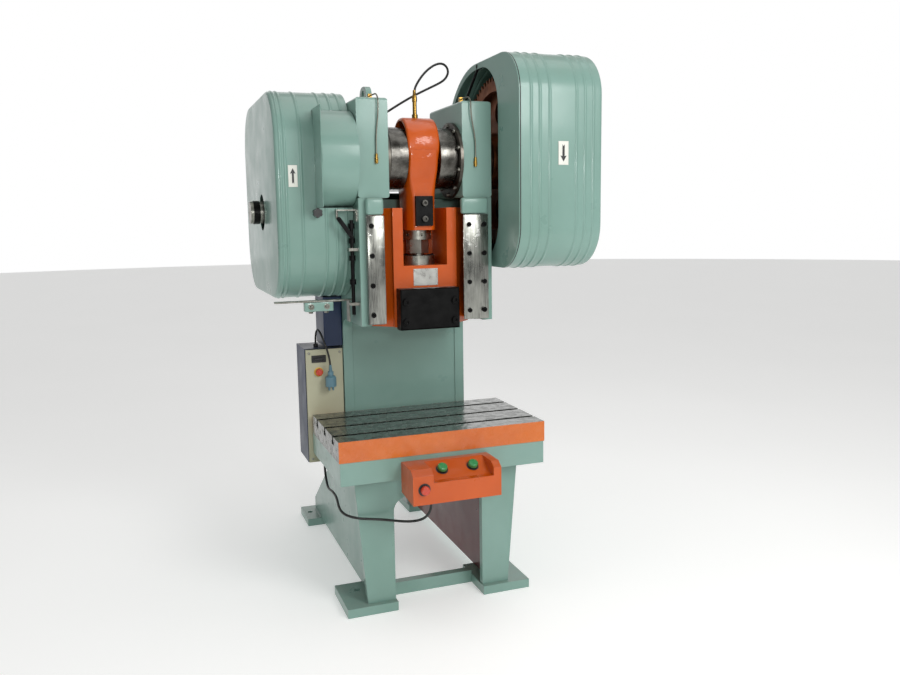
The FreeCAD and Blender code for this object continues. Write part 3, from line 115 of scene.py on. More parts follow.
def linear(hex_colour, alpha=1.0):
    """An sRGB hex colour as the linear values that a shader takes."""
    channels = [int(hex_colour[index:index + 2], 16) / 255 for index in (0, 2, 4)]
    return [c / 12.92 if c <= 0.04045 else ((c + 0.055) / 1.055) ** 2.4 for c in channels] + [alpha]


def add(tree, kind, settings=(), links=()):
    """Adds a node. settings are (socket or attribute, value) pairs and links are (socket, source) pairs."""
    item = tree.nodes.new(kind)
    for name, value in settings:
        if isinstance(name, str) and hasattr(item, name):
            setattr(item, name, value)
        else:
            item.inputs[name].default_value = value
    for name, source in links:
        tree.links.new(source, item.inputs[name])
    return item


def new_material(name):
    """A material with its shader and the piece's own coordinates, in metres."""
    material = bpy.data.materials.new(name)
    material.use_nodes = True
    tree = material.node_tree
    shader = tree.nodes["Principled BSDF"]
    place = add(tree, "ShaderNodeTexCoord").outputs["Object"]
    return material, tree, shader, place


def noise(tree, place, size, detail=3.0, stretch=None, rough=0.5):
    """Noise whose features are about size metres across; stretch draws it out along the axes."""
    if stretch:
        place = add(tree, "ShaderNodeMapping", [("Scale", stretch)], [("Vector", place)]).outputs[0]
    return add(tree, "ShaderNodeTexNoise", [("Scale", 1 / size), ("Detail", detail), ("Roughness", rough)],
               [("Vector", place)]).outputs["Fac"]


def span(tree, value, low, high, to_low, to_high):
    return add(tree, "ShaderNodeMapRange", [("From Min", low), ("From Max", high), ("To Min", to_low),
               ("To Max", to_high)], [("Value", value)]).outputs["Result"]


def mixed(tree, factor, first, second):
    """Colour first where factor is 0 and second where it is 1. Each is a hex colour or an output."""
    item = add(tree, "ShaderNodeMix", [("data_type", "RGBA")], [(0, factor)])
    for socket, colour in ((6, first), (7, second)):
        if isinstance(colour, str):
            item.inputs[socket].default_value = linear(colour)
        else:
            tree.links.new(colour, item.inputs[socket])
    return item.outputs[2]


def bumped(tree, height, distance, strength=1.0, edge=0.0025):
    """A normal that adds height (0 to 1, times distance in metres) to softly broken edges."""
    soft_edge = add(tree, "ShaderNodeBevel", [("samples", 4), ("Radius", edge)]).outputs[0]
    return add(tree, "ShaderNodeBump", [("Strength", strength), ("Distance", distance)],
               [("Height", height), ("Normal", soft_edge)]).outputs[0]


def join(tree, shader, **sockets):
    names = {"colour": "Base Color", "rough": "Roughness", "normal": "Normal", "coat_normal": "Coat Normal",
             "metal": "Metallic"}
    for key, source in sockets.items():
        tree.links.new(source, shader.inputs[names[key]])


# ---------------------------------------------------------------- materials

def enamel(name, colour, worn, rough=0.3, coat=0.35, peel=0.00012, dust="9C9A8C", dusty=0.25):
    """Sprayed machine enamel: slight orange peel, broad cloudiness, dust on the upper faces."""
    material, tree, shader, place = new_material(name)
    cloud = noise(tree, place, 0.35, 4)
    base = mixed(tree, span(tree, cloud, 0.35, 0.65, 0, 1), worn, colour)
    normal = add(tree, "ShaderNodeNewGeometry").outputs["Normal"]
    upward = add(tree, "ShaderNodeSeparateXYZ", [], [(0, normal)]).outputs["Z"]
    settled = add(tree, "ShaderNodeMath", [("operation", "MULTIPLY")],
                  [(0, span(tree, upward, 0.3, 1.0, 0, dusty)),
                   (1, span(tree, noise(tree, place, 0.06, 5), 0.35, 0.7, 0.2, 1))]).outputs[0]
    join(tree, shader, colour=mixed(tree, settled, base, dust),
         rough=span(tree, noise(tree, place, 0.12, 5), 0.3, 0.7, rough - 0.06, rough + 0.1),
         normal=bumped(tree, noise(tree, place, 0.004, 2), peel))
    shader.inputs["Coat Weight"].default_value = coat
    shader.inputs["Coat Roughness"].default_value = 0.12
    shader.inputs["Specular IOR Level"].default_value = 0.35
    return material


def bare_metal(name, colour, stain, rough, lay, grain=0.0012, stained=0.5, depth=0.00004):
    """Machined and oiled metal: tool marks drawn out along the lay, with patches of darker oil."""
    material, tree, shader, place = new_material(name)
    marks = noise(tree, place, grain, 2, lay)
    patch = span(tree, noise(tree, place, 0.05, 6), 0.42, 0.68, 0, stained)
    streaks = mixed(tree, span(tree, marks, 0.3, 0.7, 0, 0.35), colour, stain)
    join(tree, shader, colour=mixed(tree, patch, streaks, stain),
         rough=span(tree, noise(tree, place, 0.03, 5), 0.3, 0.7, rough - 0.08, rough + 0.14),
         normal=bumped(tree, marks, depth, edge=0.0015))
    shader.inputs["Metallic"].default_value = 1.0
    return material


def moulded(name, colour, rough=0.45, grain=0.0006, depth=0.00003, coat=0.0):
    """Moulded plastic or rubber with a fine spark-eroded grain."""
    material, tree, shader, place = new_material(name)
    base = mixed(tree, span(tree, noise(tree, place, 0.02, 4), 0.3, 0.7, 0, 0.12), colour, "6A6A66")
    join(tree, shader, colour=base,
         rough=span(tree, noise(tree, place, 0.015, 4), 0.3, 0.7, rough - 0.08, rough + 0.08),
         normal=bumped(tree, noise(tree, place, grain, 2), depth, edge=0.0008))
    shader.inputs["Coat Weight"].default_value = coat
    return material


def bolster_finish():
    """Ground steel on top under a film of oil, with the sides in wrapped orange enamel."""
    material, tree, shader, place = new_material("bolster_ground_steel_and_orange_enamel")
    low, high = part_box("bolster")
    spot = add(tree, "ShaderNodeSeparateXYZ", [], [(0, place)])
    edge = 0.0012
    sides = []
    for axis, bound, way in (("Y", low.y + edge, "LESS_THAN"), ("Y", high.y - edge, "GREATER_THAN")):
        sides.append(add(tree, "ShaderNodeMath", [("operation", way), (1, bound)],
                         [(0, spot.outputs[axis])]).outputs[0])
    painted = sides[0]
    for side in sides[1:]:
        painted = add(tree, "ShaderNodeMath", [("operation", "MAXIMUM")],
                      [(0, painted), (1, side)]).outputs[0]
    marks = noise(tree, place, 0.002, 3, (0.04, 1, 1))
    swirl = span(tree, noise(tree, place, 0.08, 6), 0.35, 0.65, 0, 1)
    steel = mixed(tree, span(tree, marks, 0.3, 0.7, 0, 1), mixed(tree, swirl, "22231F", "454842"), "5E615B")
    paint = mixed(tree, span(tree, noise(tree, place, 0.2, 4), 0.35, 0.65, 0, 1), "C45C02", "CE6604")
    bare = add(tree, "ShaderNodeMath", [("operation", "SUBTRACT"), (0, 1.0)], [(1, painted)]).outputs[0]
    wet = span(tree, noise(tree, place, 0.03, 4), 0.4, 0.6, 0.16, 0.4)
    join(tree, shader, colour=mixed(tree, painted, steel, paint), metal=bare, rough=wet,
         normal=bumped(tree, marks, 0.00003), coat_normal=crinkle(tree, place))
    shader.inputs["Coat Weight"].default_value = 0.6
    shader.inputs["Coat Roughness"].default_value = 0.08
    return material


def crinkle(tree, place):
    """Creases of clinging wrapping film, as the normal of a clear top layer."""
    warp = add(tree, "ShaderNodeTexNoise", [("Scale", 9), ("Detail", 3)],
               [("Vector", place)]).outputs["Color"]
    shifted = add(tree, "ShaderNodeMix", [("data_type", "VECTOR"), (0, 0.08)],
                  [(4, place), (5, warp)]).outputs[1]
    folds = add(tree, "ShaderNodeTexVoronoi", [("feature", "DISTANCE_TO_EDGE"), ("Scale", 16)],
                [("Vector", shifted)]).outputs["Distance"]
    fine = noise(tree, place, 0.018, 4)
    height = add(tree, "ShaderNodeMath", [("operation", "MULTIPLY")], [(0, fine), (1, folds)]).outputs[0]
    return add(tree, "ShaderNodeBump", [("Strength", 0.9), ("Distance", 0.01)],
               [("Height", height)]).outputs[0]


def filmed_steel():
    """Ground steel of the ways under clinging wrapping film, with painted reflection in its streaky patches.
    """
    material, tree, shader, place = new_material("film_wrapped_ground_steel")
    marks = noise(tree, place, 0.003, 3, (1, 1, 0.05))
    patch = noise(tree, place, 0.06, 5, (1, 1, 0.4))
    # The dark and pale streaky patches are painted reflection: they stand in for the dark reflections in the
    # film, and they also set the roughness.
    steel = mixed(tree, span(tree, patch, 0.35, 0.65, 0, 1), "3C3E39", "85867F")
    join(tree, shader, colour=mixed(tree, span(tree, marks, 0.3, 0.7, 0, 0.45), steel, "B4B5AE"),
         rough=span(tree, patch, 0.3, 0.7, 0.18, 0.4), normal=bumped(tree, marks, 0.00004),
         coat_normal=crinkle(tree, place))
    shader.inputs["Metallic"].default_value = 1.0
    shader.inputs["Coat Weight"].default_value = 1.0
    shader.inputs["Coat Roughness"].default_value = 0.05
    return material


def filmed_enamel(name, colour, worn):
    """Enamel under clinging wrapping film, which glints along its creases."""
    material = enamel(name, colour, worn, rough=0.32, coat=0.45, dusty=0.0)
    tree = material.node_tree
    shader = tree.nodes["Principled BSDF"]
    place = add(tree, "ShaderNodeTexCoord").outputs["Object"]
    join(tree, shader, coat_normal=crinkle(tree, place))
    shader.inputs["Coat Roughness"].default_value = 0.06
    return material


def red_inside_enamel():
    """Green enamel outside; the inner face of the lower plate keeps its dark red primer."""
    material = enamel("sea_green_enamel_red_primer_inside", "7E9F95", "76978C", rough=0.32)
    tree = material.node_tree
    shader = tree.nodes["Principled BSDF"]
    green = shader.inputs["Base Color"].links[0].from_socket
    normal = add(tree, "ShaderNodeSeparateXYZ", [],
                 [(0, add(tree, "ShaderNodeNewGeometry").outputs["Normal"])])
    place = add(tree, "ShaderNodeTexCoord").outputs["Object"]
    height = add(tree, "ShaderNodeSeparateXYZ", [], [(0, place)])
    inward = add(tree, "ShaderNodeMath", [("operation", "LESS_THAN"), (1, -0.7)],
                 [(0, normal.outputs["X"])]).outputs[0]
    low = add(tree, "ShaderNodeMath", [("operation", "LESS_THAN"), (1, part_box("bed_plate")[0].z)],
              [(0, height.outputs["Z"])]).outputs[0]
    inside = add(tree, "ShaderNodeMath", [("operation", "MULTIPLY")], [(0, inward), (1, low)]).outputs[0]
    red = mixed(tree, noise(tree, place, 0.2, 4), "52090F", "761318")
    tree.links.new(mixed(tree, inside, green, red), shader.inputs["Base Color"])
    return material


def make_materials():
    green = enamel("sea_green_machine_enamel", "7E9F95", "76978C", rough=0.32)
    return {
        "green_paint": green,
        "orange_paint": enamel("orange_gloss_enamel", "C85404", "B84A02", rough=0.28, coat=0.2, dusty=0.04),
        "navy_paint": enamel("navy_powder_coat", "1F3152", "1A2944", rough=0.4, coat=0.1, dusty=0.1),
        "beige_paint": enamel("beige_powder_coat", "B9B89E", "ABA98E", rough=0.5, coat=0.0, peel=0.0003),
        "motor_paint": enamel("grey_green_motor_enamel", "66746F", "5B6863", rough=0.4, coat=0.1),
        "red_inside": red_inside_enamel(),
        "filmed_steel": filmed_steel(),
        "filmed_orange": filmed_enamel("film_wrapped_orange_enamel", "C85404", "B84A02"),
        "filmed_green": filmed_enamel("film_wrapped_green_enamel", "7E9F95", "76978C"),
        "white_plate": enamel("white_printed_plate", "E6E6DE", "DADAD0", rough=0.4, coat=0.2, dusty=0.05),
        "bare_steel": bare_metal("oiled_machined_steel", "A3A39B", "5E5C52", 0.3, (1, 1, 0.05)),
        "tube_steel": bare_metal("drawn_oil_tube", "8C8B80", "4A483F", 0.35, (1, 1, 0.05)),
        "forged_steel": bare_metal("dark_forged_steel", "74726D", "25231F", 0.26, (0.06, 1, 1), stained=0.75),
        "black_steel": bare_metal("blacked_steel", "232323", "0E0E0E", 0.38, (1, 1, 1), stained=0.5),
        "cast_iron": bare_metal("turned_cast_iron", "6B6760", "2A2723", 0.34, (0.06, 1, 1), stained=0.6),
        "gear_iron": bare_metal("primed_gear_iron", "9A5F3F", "4F2A1A", 0.4, (0.06, 1, 1), stained=0.45),
        "brass": bare_metal("turned_brass", "B58F46", "5B431F", 0.28, (1, 1, 0.1)),
        "bright_plate": bare_metal("bright_aluminium_plate", "C9C9C4", "8E8E88", 0.3, (0.05, 1, 1),
                                   stained=0.2),
        "black_rubber": moulded("black_hose_rubber", "101010", 0.5, grain=0.0012),
        "black_plastic": moulded("black_moulded_nylon", "151517", 0.4),
        "plug_plastic": moulded("grey_blue_moulded_plastic", "5C8290", 0.38),
        "button_green": moulded("green_button_plastic", "2C8A49", 0.25, coat=0.4),
        "button_red": moulded("red_button_plastic", "C2330F", 0.25, coat=0.4),
        "yellow_plastic": moulded("yellow_button_collar", "D8A81C", 0.35),
        "bolster_steel": bolster_finish(),
    }


MATERIALS = make_materials()
SLOT_OF = {row["node"]: row["material_slot"] for row in frame["record"]["subparts"]}


def paint_nodes():
    """Gives each CAD node the finish of its record slot; a few nodes get film-wrapped, red-lined or blacked
    finishes instead.
    """
    for name, thing in NODES.items():
        finish = MATERIALS[SLOT_OF[name]]
        if name == "side_plate_right":
            finish = MATERIALS["red_inside"]
        if name == "gibs":
            finish = MATERIALS["filmed_steel"]
        if name in ("ram", "console_box"):
            finish = MATERIALS["filmed_orange"]
        if name == "bed_plate":
            finish = MATERIALS["filmed_green"]
        if name in ("clutch_rod", "gib_screws", "die_clamp", "rod_clamp_plate", "ram_screws"):
            finish = MATERIALS["black_steel"]
        thing.data.materials.clear()
        thing.data.materials.append(finish)


def finish_piece(name, bm, material, body, smooth_below=35):
    """Turns a mesh in the row frame into a piece that rides on a body."""
    bmesh.ops.remove_doubles(bm, verts=bm.verts, dist=1e-6)
    limit = radians(smooth_below)
    for face in bm.faces:
        face.smooth = True
    for edge in bm.edges:
        edge.smooth = len(edge.link_faces) == 2 and edge.calc_face_angle(0) < limit
    mesh = bpy.data.meshes.new(name)
    bm.to_mesh(mesh)
    bm.free()
    piece = bpy.data.objects.new(name, mesh)
    bpy.context.scene.collection.objects.link(piece)
    mesh.materials.append(MATERIALS[material])
    if body:
        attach(piece, body)
    return piece


def turn_about(bm, base, way, profile, steps=32):
    """Revolves (distance along way, radius) points about the line through base. A radius of 0 is a tip."""
    way = Vector(way).normalized()
    side = way.orthogonal().normalized()
    across = way.cross(side)
    rings = []
    for along, radius in profile:
        centre = Vector(base) + way * along
        if radius < 1e-7:
            rings.append([bm.verts.new(centre)])
            continue
        ring = []
        for step in range(steps):
            angle = 2 * pi * step / steps
            ring.append(bm.verts.new(centre + side * (radius * cos(angle)) + across * (radius * sin(angle))))
        rings.append(ring)
    for first, second in zip(rings, rings[1:]):
        for step in range(steps):
            following = (step + 1) % steps
            a, b = first[step % len(first)], first[following % len(first)]
            c, d = second[following % len(second)], second[step % len(second)]
            corners = [a, b, c, d]
            corners = [v for index, v in enumerate(corners) if v not in corners[:index]]
            if len(corners) > 2:
                bm.faces.new(corners)
    return bm


def soft_box(bm, low, high, radius, segments=2):
    """A box with rounded edges."""
    low, high = Vector(low), Vector(high)
    made = bmesh.ops.create_cube(bm, size=1)
    verts = made["verts"]
    for vert in verts:
        vert.co = Vector((low[axis] + (vert.co[axis] + 0.5) * (high[axis] - low[axis]) for axis in range(3)))
    edges = {edge for vert in verts for edge in vert.link_edges}
    if radius > 0:
        bmesh.ops.bevel(bm, geom=list(edges), offset=radius, segments=segments, affect="EDGES", profile=0.5)
    return bm


def prism(bm, corners, way):
    """Pushes a flat outline of points along a vector into a closed solid."""
    base = [bm.verts.new(Vector(corner)) for corner in corners]
    top = [bm.verts.new(Vector(corner) + Vector(way)) for corner in corners]
    bm.faces.new(base)
    bm.faces.new(list(reversed(top)))
    for index in range(len(base)):
        following = (index + 1) % len(base)
        bm.faces.new([base[index], top[index], top[following], base[following]])
    return bm


def hex_bolt(bm, seat, way, across, height):
    """A hexagon head with a chamfered crown on a washer."""
    way = Vector(way).normalized()
    turn_about(bm, seat, way, [(0, across * 0.98), (height * 0.16, across * 0.98),
                               (height * 0.18, across * 0.9),
                               (height * 0.18, 0)], 24)
    side = way.orthogonal().normalized()
    across_way = way.cross(side)
    reach = across / 2 / cos(pi / 6)
    corners = []
    for step in range(6):
        angle = pi / 3 * step + 0.2
        corners.append(Vector(seat) + way * (height * 0.17)
                       + side * (reach * cos(angle)) + across_way * (reach * sin(angle)))
    prism(bm, corners, way * (height * 0.68))
    turn_about(bm, Vector(seat) + way * (height * 0.85), way,
               [(0, across * 0.52), (height * 0.1, across * 0.44), (height * 0.1, 0)], 18)


# ---------------------------------------------------------------- hoses and cables

HOSE_FIXED = [
    (-0.140, -0.262, 2.150), (-0.110, -0.262, 2.150), (-0.066, -0.276, 2.176), (-0.016, -0.295, 2.208),
    (0.038, -0.316, 2.240), (0.090, -0.338, 2.266), (0.136, -0.360, 2.288)]
HOSE_MOVING = [
    (0.136, -0.360, 2.288), (0.159, -0.371, 2.299), (0.181, -0.381, 2.316), (0.191, -0.391, 2.340),
    (0.184, -0.399, 2.361), (0.166, -0.407, 2.374), (0.143, -0.415, 2.376), (0.116, -0.424, 2.367),
    (0.088, -0.434, 2.350), (0.062, -0.445, 2.329), (0.038, -0.457, 2.304), (0.017, -0.468, 2.277),
    (0.000, -0.478, 2.249), (0.000, -0.478, 2.219)]
CONSOLE_CABLE = [
    (-0.100, -0.902, 0.534), (-0.100, -0.902, 0.506), (-0.108, -0.888, 0.474), (-0.124, -0.863, 0.448),
    (-0.150, -0.832, 0.432), (-0.184, -0.800, 0.424), (-0.226, -0.770, 0.424), (-0.272, -0.748, 0.428),
    (-0.318, -0.738, 0.433), (-0.360, -0.734, 0.439), (-0.396, -0.718, 0.446), (-0.418, -0.690, 0.451),
    (-0.426, -0.652, 0.456), (-0.424, -0.604, 0.461), (-0.416, -0.548, 0.464), (-0.409, -0.490, 0.465),
    (-0.406, -0.432, 0.463), (-0.404, -0.376, 0.457), (-0.401, -0.328, 0.447), (-0.398, -0.290, 0.439),
    (-0.396, -0.258, 0.436), (-0.394, -0.228, 0.441), (-0.392, -0.202, 0.453), (-0.391, -0.180, 0.471),
    (-0.390, -0.166, 0.494), (-0.390, -0.162, 0.519), (-0.390, -0.162, 0.534)]
POWER_CORD = [
    (-0.412, -0.160, 1.114), (-0.412, -0.160, 1.138), (-0.412, -0.171, 1.162), (-0.412, -0.193, 1.180),
    (-0.411, -0.221, 1.188), (-0.409, -0.248, 1.182), (-0.404, -0.268, 1.164), (-0.396, -0.280, 1.138),
    (-0.386, -0.285, 1.106), (-0.377, -0.286, 1.070), (-0.371, -0.285, 1.034), (-0.371, -0.285, 0.998)]


def smooth_line(name, route):
    """The route as one NURBS line, and the points that it passes through."""
    curve = bpy.data.curves.new(name, "CURVE")
    curve.dimensions = "3D"
    curve.resolution_u = 12
    spline = curve.splines.new("NURBS")
    spline.points.add(len(route) - 1)
    for point, spot in zip(spline.points, route):
        point.co = (*spot, 1)
    spline.order_u = 3
    spline.use_endpoint_u = True
    holder = bpy.data.objects.new(name + "_line", curve)
    bpy.context.scene.collection.objects.link(holder)
    bpy.context.view_layer.update()
    mesh = bpy.data.meshes.new_from_object(holder.evaluated_get(bpy.context.evaluated_depsgraph_get()))
    points = [vert.co.copy() for vert in mesh.vertices]
    bpy.data.meshes.remove(mesh)
    bpy.data.objects.remove(holder)
    return curve, points


def cable_piece(name, route, radius):
    """A round cable as a bevelled curve."""
    curve, points = smooth_line(name, route)
    curve.bevel_depth = radius
    curve.bevel_resolution = 4
    curve.use_fill_caps = True
    piece = bpy.data.objects.new(name, curve)
    curve.materials.append(MATERIALS["black_rubber"])
    bpy.context.scene.collection.objects.link(piece)
    return piece, points


def tube_mesh(name, points, radius, material, steps=14):
    """A round tube of mesh rings along points."""
    bm = bmesh.new()
    rings = []
    side = (points[1] - points[0]).orthogonal().normalized()
    for index, point in enumerate(points):
        ahead = points[min(index + 1, len(points) - 1)] - points[max(index - 1, 0)]
        ahead.normalize()
        side = (side - ahead * side.dot(ahead)).normalized()
        across = ahead.cross(side)
        rings.append([bm.verts.new(point + side * (radius * cos(2 * pi * step / steps))
                                   + across * (radius * sin(2 * pi * step / steps)))
                                   for step in range(steps)])
    for first, second in zip(rings, rings[1:]):
        for step in range(steps):
            following = (step + 1) % steps
            bm.faces.new([first[step], first[following], second[following], second[step]])
    bm.faces.new(list(reversed(rings[0])))
    bm.faces.new(rings[-1])
    return finish_piece(name, bm, material, None, 60)


def make_cords():
    hose_radius, cable_radius, cord_radius = 0.005, 0.0055, 0.0045
    _, points = smooth_line("grease_hose_fixed", HOSE_FIXED)
    hose = tube_mesh("grease_hose_to_frame", points, hose_radius, "black_rubber")
    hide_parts("grease_hose_fixed")
    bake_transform(hose)
    _, points = smooth_line("grease_hose_moving", HOSE_MOVING)
    loop = tube_mesh("grease_hose_loop", points, hose_radius, "black_rubber")
    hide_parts("grease_hose_moving")
    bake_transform(loop)
    cable, points = cable_piece("console_cable_black", CONSOLE_CABLE, cable_radius)
    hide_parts("console_cable")
    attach(cable, "frame")
    cord, points = cable_piece("power_cord_black", POWER_CORD, cord_radius)
    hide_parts("power_cord")
    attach(cord, "frame")


# ---------------------------------------------------------------- sheet guards

def side_profile(front, back, low, high, rounds, steps=20):
    """Points and outward normals round a guard seen from its side, with rounded corners.
    rounds: front top, back top, back low, front low."""
    points = []
    corners = ((front, high, 180, 90), (back, high, 90, 0), (back, low, 0, -90), (front, low, 270, 180))
    for (y, z, start, stop), radius in zip(corners, rounds):
        centre_y = y + radius if y == front else y - radius
        centre_z = z - radius if z == high else z + radius
        for step in range(steps + 1):
            angle = radians(start + (stop - start) * step / steps)
            out = Vector((0, cos(angle), sin(angle)))
            points.append((Vector((0, centre_y, centre_z)) + out * radius, out))
    return points


def bead_height(x, beads):
    """Height of the pressed beads at x: half-round ribs 15 mm wide and 3.5 mm high."""
    height = 0.0
    for bead in beads:
        away = abs(x - bead) / 0.0075
        if away < 1:
            height = max(height, 0.0035 * cos(away * pi / 2) ** 1.2)
    return height


def guard_stations(left, right, closed_left, beads):
    """X stations across a guard with (x, inset): rounded where the band meets a closed side."""
    edge = 0.014
    spots = [left + (right - left) * step / 24 for step in range(25)]
    for bead in beads:
        spots += [bead + 0.00125 * step for step in range(-7, 8)]
    start, stop = (left + edge, right) if closed_left else (left, right - edge)
    stations = sorted({round(x, 5) for x in spots if start <= x <= stop} | {start, stop})
    rows = [(x, 0.0035 - bead_height(x, beads)) for x in stations]
    corner = []
    for step in range(1, 7):
        angle = pi / 2 * step / 6
        reach = edge * sin(angle)
        inset = 0.0035 + edge * (1 - cos(angle))
        corner.append((start - reach, inset) if closed_left else (stop + reach, inset))
    return list(reversed(corner)) + rows if closed_left else rows + corner


def guard_shell(name, node, rounds, beads, closed_left, hole=None, lip=None):
    """A folded sheet guard: a beaded band round a closed side, 3 mm thick, open on the other side.
    hole is (y, z, radius) in the closed side; lip is (front, other) widths of a flange on the open side."""
    low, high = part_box(node)
    profile = side_profile(low.y, high.y, low.z, high.z, rounds)
    stations = guard_stations(low.x, high.x, closed_left, beads)
    bm = bmesh.new()
    rows = [[bm.verts.new(Vector((x, 0, 0)) + point - out * inset) for point, out in profile]
            for x, inset in stations]
    count = len(profile)
    for first, second in zip(rows, rows[1:]):
        for index in range(count):
            following = (index + 1) % count
            bm.faces.new([first[index], second[index], second[following], first[following]])
    closed_row = rows[0] if closed_left else rows[-1]
    open_row = rows[-1] if closed_left else rows[0]
    closed_loop = [bm.edges.get((a, b)) for a, b in zip(closed_row, closed_row[1:] + closed_row[:1])]
    if hole:
        y, z, radius = hole
        ring = [bm.verts.new((closed_row[0].co.x, y + radius * cos(2 * pi * step / 40),
                              z + radius * sin(2 * pi * step / 40))) for step in range(40)]
        closed_loop += [bm.edges.new((a, b)) for a, b in zip(ring, ring[1:] + ring[:1])]
    bmesh.ops.triangle_fill(bm, edges=closed_loop, use_beauty=True)
    if lip:
        front_lip, other = lip
        inner_rounds = [rounds[0], rounds[1] - other, rounds[2] - other / 2, rounds[3]]
        inner = side_profile(low.y + front_lip, high.y - other, low.z + other, high.z - other, inner_rounds)
        x = open_row[0].co.x
        ring = [bm.verts.new(Vector((x, 0, 0)) + point) for point, _ in inner]
        loop = [bm.edges.get((a, b)) for a, b in zip(open_row, open_row[1:] + open_row[:1])]
        loop += [bm.edges.new((a, b)) for a, b in zip(ring, ring[1:] + ring[:1])]
        bmesh.ops.triangle_fill(bm, edges=loop, use_beauty=True)
    bmesh.ops.recalc_face_normals(bm, faces=bm.faces)
    front_face = min(bm.faces, key=lambda face: face.calc_center_median().y)
    if front_face.normal.y > 0:
        bmesh.ops.reverse_faces(bm, faces=bm.faces)
    piece = finish_piece(name, bm, "green_paint", None, 40)
    skin = piece.modifiers.new("sheet", "SOLIDIFY")
    skin.thickness = 0.003
    skin.offset = -1
    return piece


def apply_modifiers(piece):
    graph = bpy.context.evaluated_depsgraph_get()
    mesh = bpy.data.meshes.new_from_object(piece.evaluated_get(graph))
    piece.modifiers.clear()
    piece.data = mesh


def clear_for_cover(guard):
    """Takes the guard's front away where the brake cover stands through it."""
    cover_low, cover_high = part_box("brake_cover")
    bm = bmesh.new()
    bm.from_mesh(guard.data)
    for height, way in ((cover_low.z, Z_WAY), (cover_high.z, Z_WAY)):
        bmesh.ops.bisect_plane(bm, geom=list(bm.verts) + list(bm.edges) + list(bm.faces),
                               plane_co=(0, 0, height), plane_no=way)
    bmesh.ops.bisect_plane(bm, geom=list(bm.verts) + list(bm.edges) + list(bm.faces),
                           plane_co=(cover_low.x - 0.001, 0, 0), plane_no=X_WAY)
    gone = [face for face in bm.faces if face.calc_center_median().x > cover_low.x - 0.001
            and cover_low.z < face.calc_center_median().z < cover_high.z
            and face.calc_center_median().y < -0.4]
    bmesh.ops.delete(bm, geom=gone, context="FACES")
    bm.to_mesh(guard.data)
    bm.free()


def make_flywheel_guard():
    low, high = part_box("flywheel_guard")
    beads = [low.x + 0.022, low.x + 0.041, low.x + 0.106, high.x - 0.117, high.x - 0.073, high.x - 0.031]
    guard = guard_shell("flywheel_guard_sheet", "flywheel_guard", [0.23] * 4, beads, True,
                        hole=(BACK_SHAFT.y, BACK_SHAFT.z, 0.082))
    bpy.context.view_layer.update()
    apply_modifiers(guard)
    clear_for_cover(guard)
    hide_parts("flywheel_guard")
    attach(guard, "frame")


def make_gear_guard():
    low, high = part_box("gear_guard")
    beads = [low.x + 0.055, low.x + 0.095, low.x + 0.14, high.x - 0.125, high.x - 0.085, high.x - 0.045]
    guard = guard_shell("gear_guard_sheet", "gear_guard", [0.19, 0.42, 0.114, 0.19], beads, False,
                        lip=(0.22, 0.03))
    bpy.context.view_layer.update()
    apply_modifiers(guard)
    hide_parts("gear_guard")
    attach(guard, "frame")


def arrow_plate(name, x, y, z, width, height, up):
    """A small white plate with a plain arrow for the running direction."""
    bm = bmesh.new()
    soft_box(bm, (x - width / 2, y - 0.0015, z - height / 2), (x + width / 2, y, z + height / 2), 0.0004, 1)
    finish_piece(name, bm, "white_plate", "frame")
    way = 1 if up else -1
    head, shaft, tail = width * 0.3, width * 0.11, height * 0.36
    outline = [(-shaft, -tail), (0, -tail * 0.8), (shaft, -tail), (shaft, tail * 0.35), (head, tail * 0.3),
               (0, tail), (-head, tail * 0.3), (-shaft, tail * 0.35)]
    bm = bmesh.new()
    prism(bm, [(x + a, y - 0.0016, z + b * way) for a, b in outline], (0, -0.0004, 0))
    bmesh.ops.recalc_face_normals(bm, faces=bm.faces)
    finish_piece(name + "_arrow", bm, "black_plastic", "frame")


# ---------------------------------------------------------------- fittings on the guards and head

def make_guard_fittings():
    low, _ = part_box("flywheel_guard")
    cover_low, cover_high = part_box("brake_cover")
    bm = bmesh.new()
    soft_box(bm, (cover_low.x - 0.004, cover_low.y, cover_low.z), (cover_low.x - 0.0005, low.y + 0.012,
             cover_high.z), 0.0015, 1)
    finish_piece("brake_cover_end_plate", bm, "green_paint", "frame")
    arrow_plate("running_arrow_left", -0.554, low.y + 0.003, 1.873, 0.038, 0.089, True)
    gear_low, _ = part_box("gear_guard")
    arrow_plate("running_arrow_right", 0.525, gear_low.y + 0.003, 1.955, 0.047, 0.098, False)
    shaft_low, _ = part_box("back_shaft")
    bm = bmesh.new()
    turn_about(bm, (shaft_low.x, BACK_SHAFT.y, BACK_SHAFT.z), X_WAY,
               [(0.0003, 0), (0.0003, 0.038), (0.003, 0.046), (0.012, 0.046), (0.014, 0.053), (0.040, 0.053),
                (0.042, 0.0505)], 48)
    finish_piece("flywheel_shaft_cap", bm, "black_steel", "flywheel")
    bm = bmesh.new()
    profile = side_profile(gear_low.y + 0.006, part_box("gear_guard")[1].y - 0.006, gear_low.z + 0.006,
                           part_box("gear_guard")[1].z - 0.006, [0.184, 0.414, 0.108, 0.184], 16)
    x, radius, steps = gear_low.x + 0.006, 0.0035, 8
    rings = [[bm.verts.new(point + Vector((x + radius * cos(2 * pi * s / steps), 0, 0))
                           + out * (radius * sin(2 * pi * s / steps))) for s in range(steps)]
             for point, out in profile]
    for first, second in zip(rings, rings[1:] + rings[:1]):
        for s in range(steps):
            f = (s + 1) % steps
            bm.faces.new([first[s], first[f], second[f], second[s]])
    bmesh.ops.recalc_face_normals(bm, faces=bm.faces)
    finish_piece("gear_guard_edge_seal", bm, "black_rubber", "frame", 60)


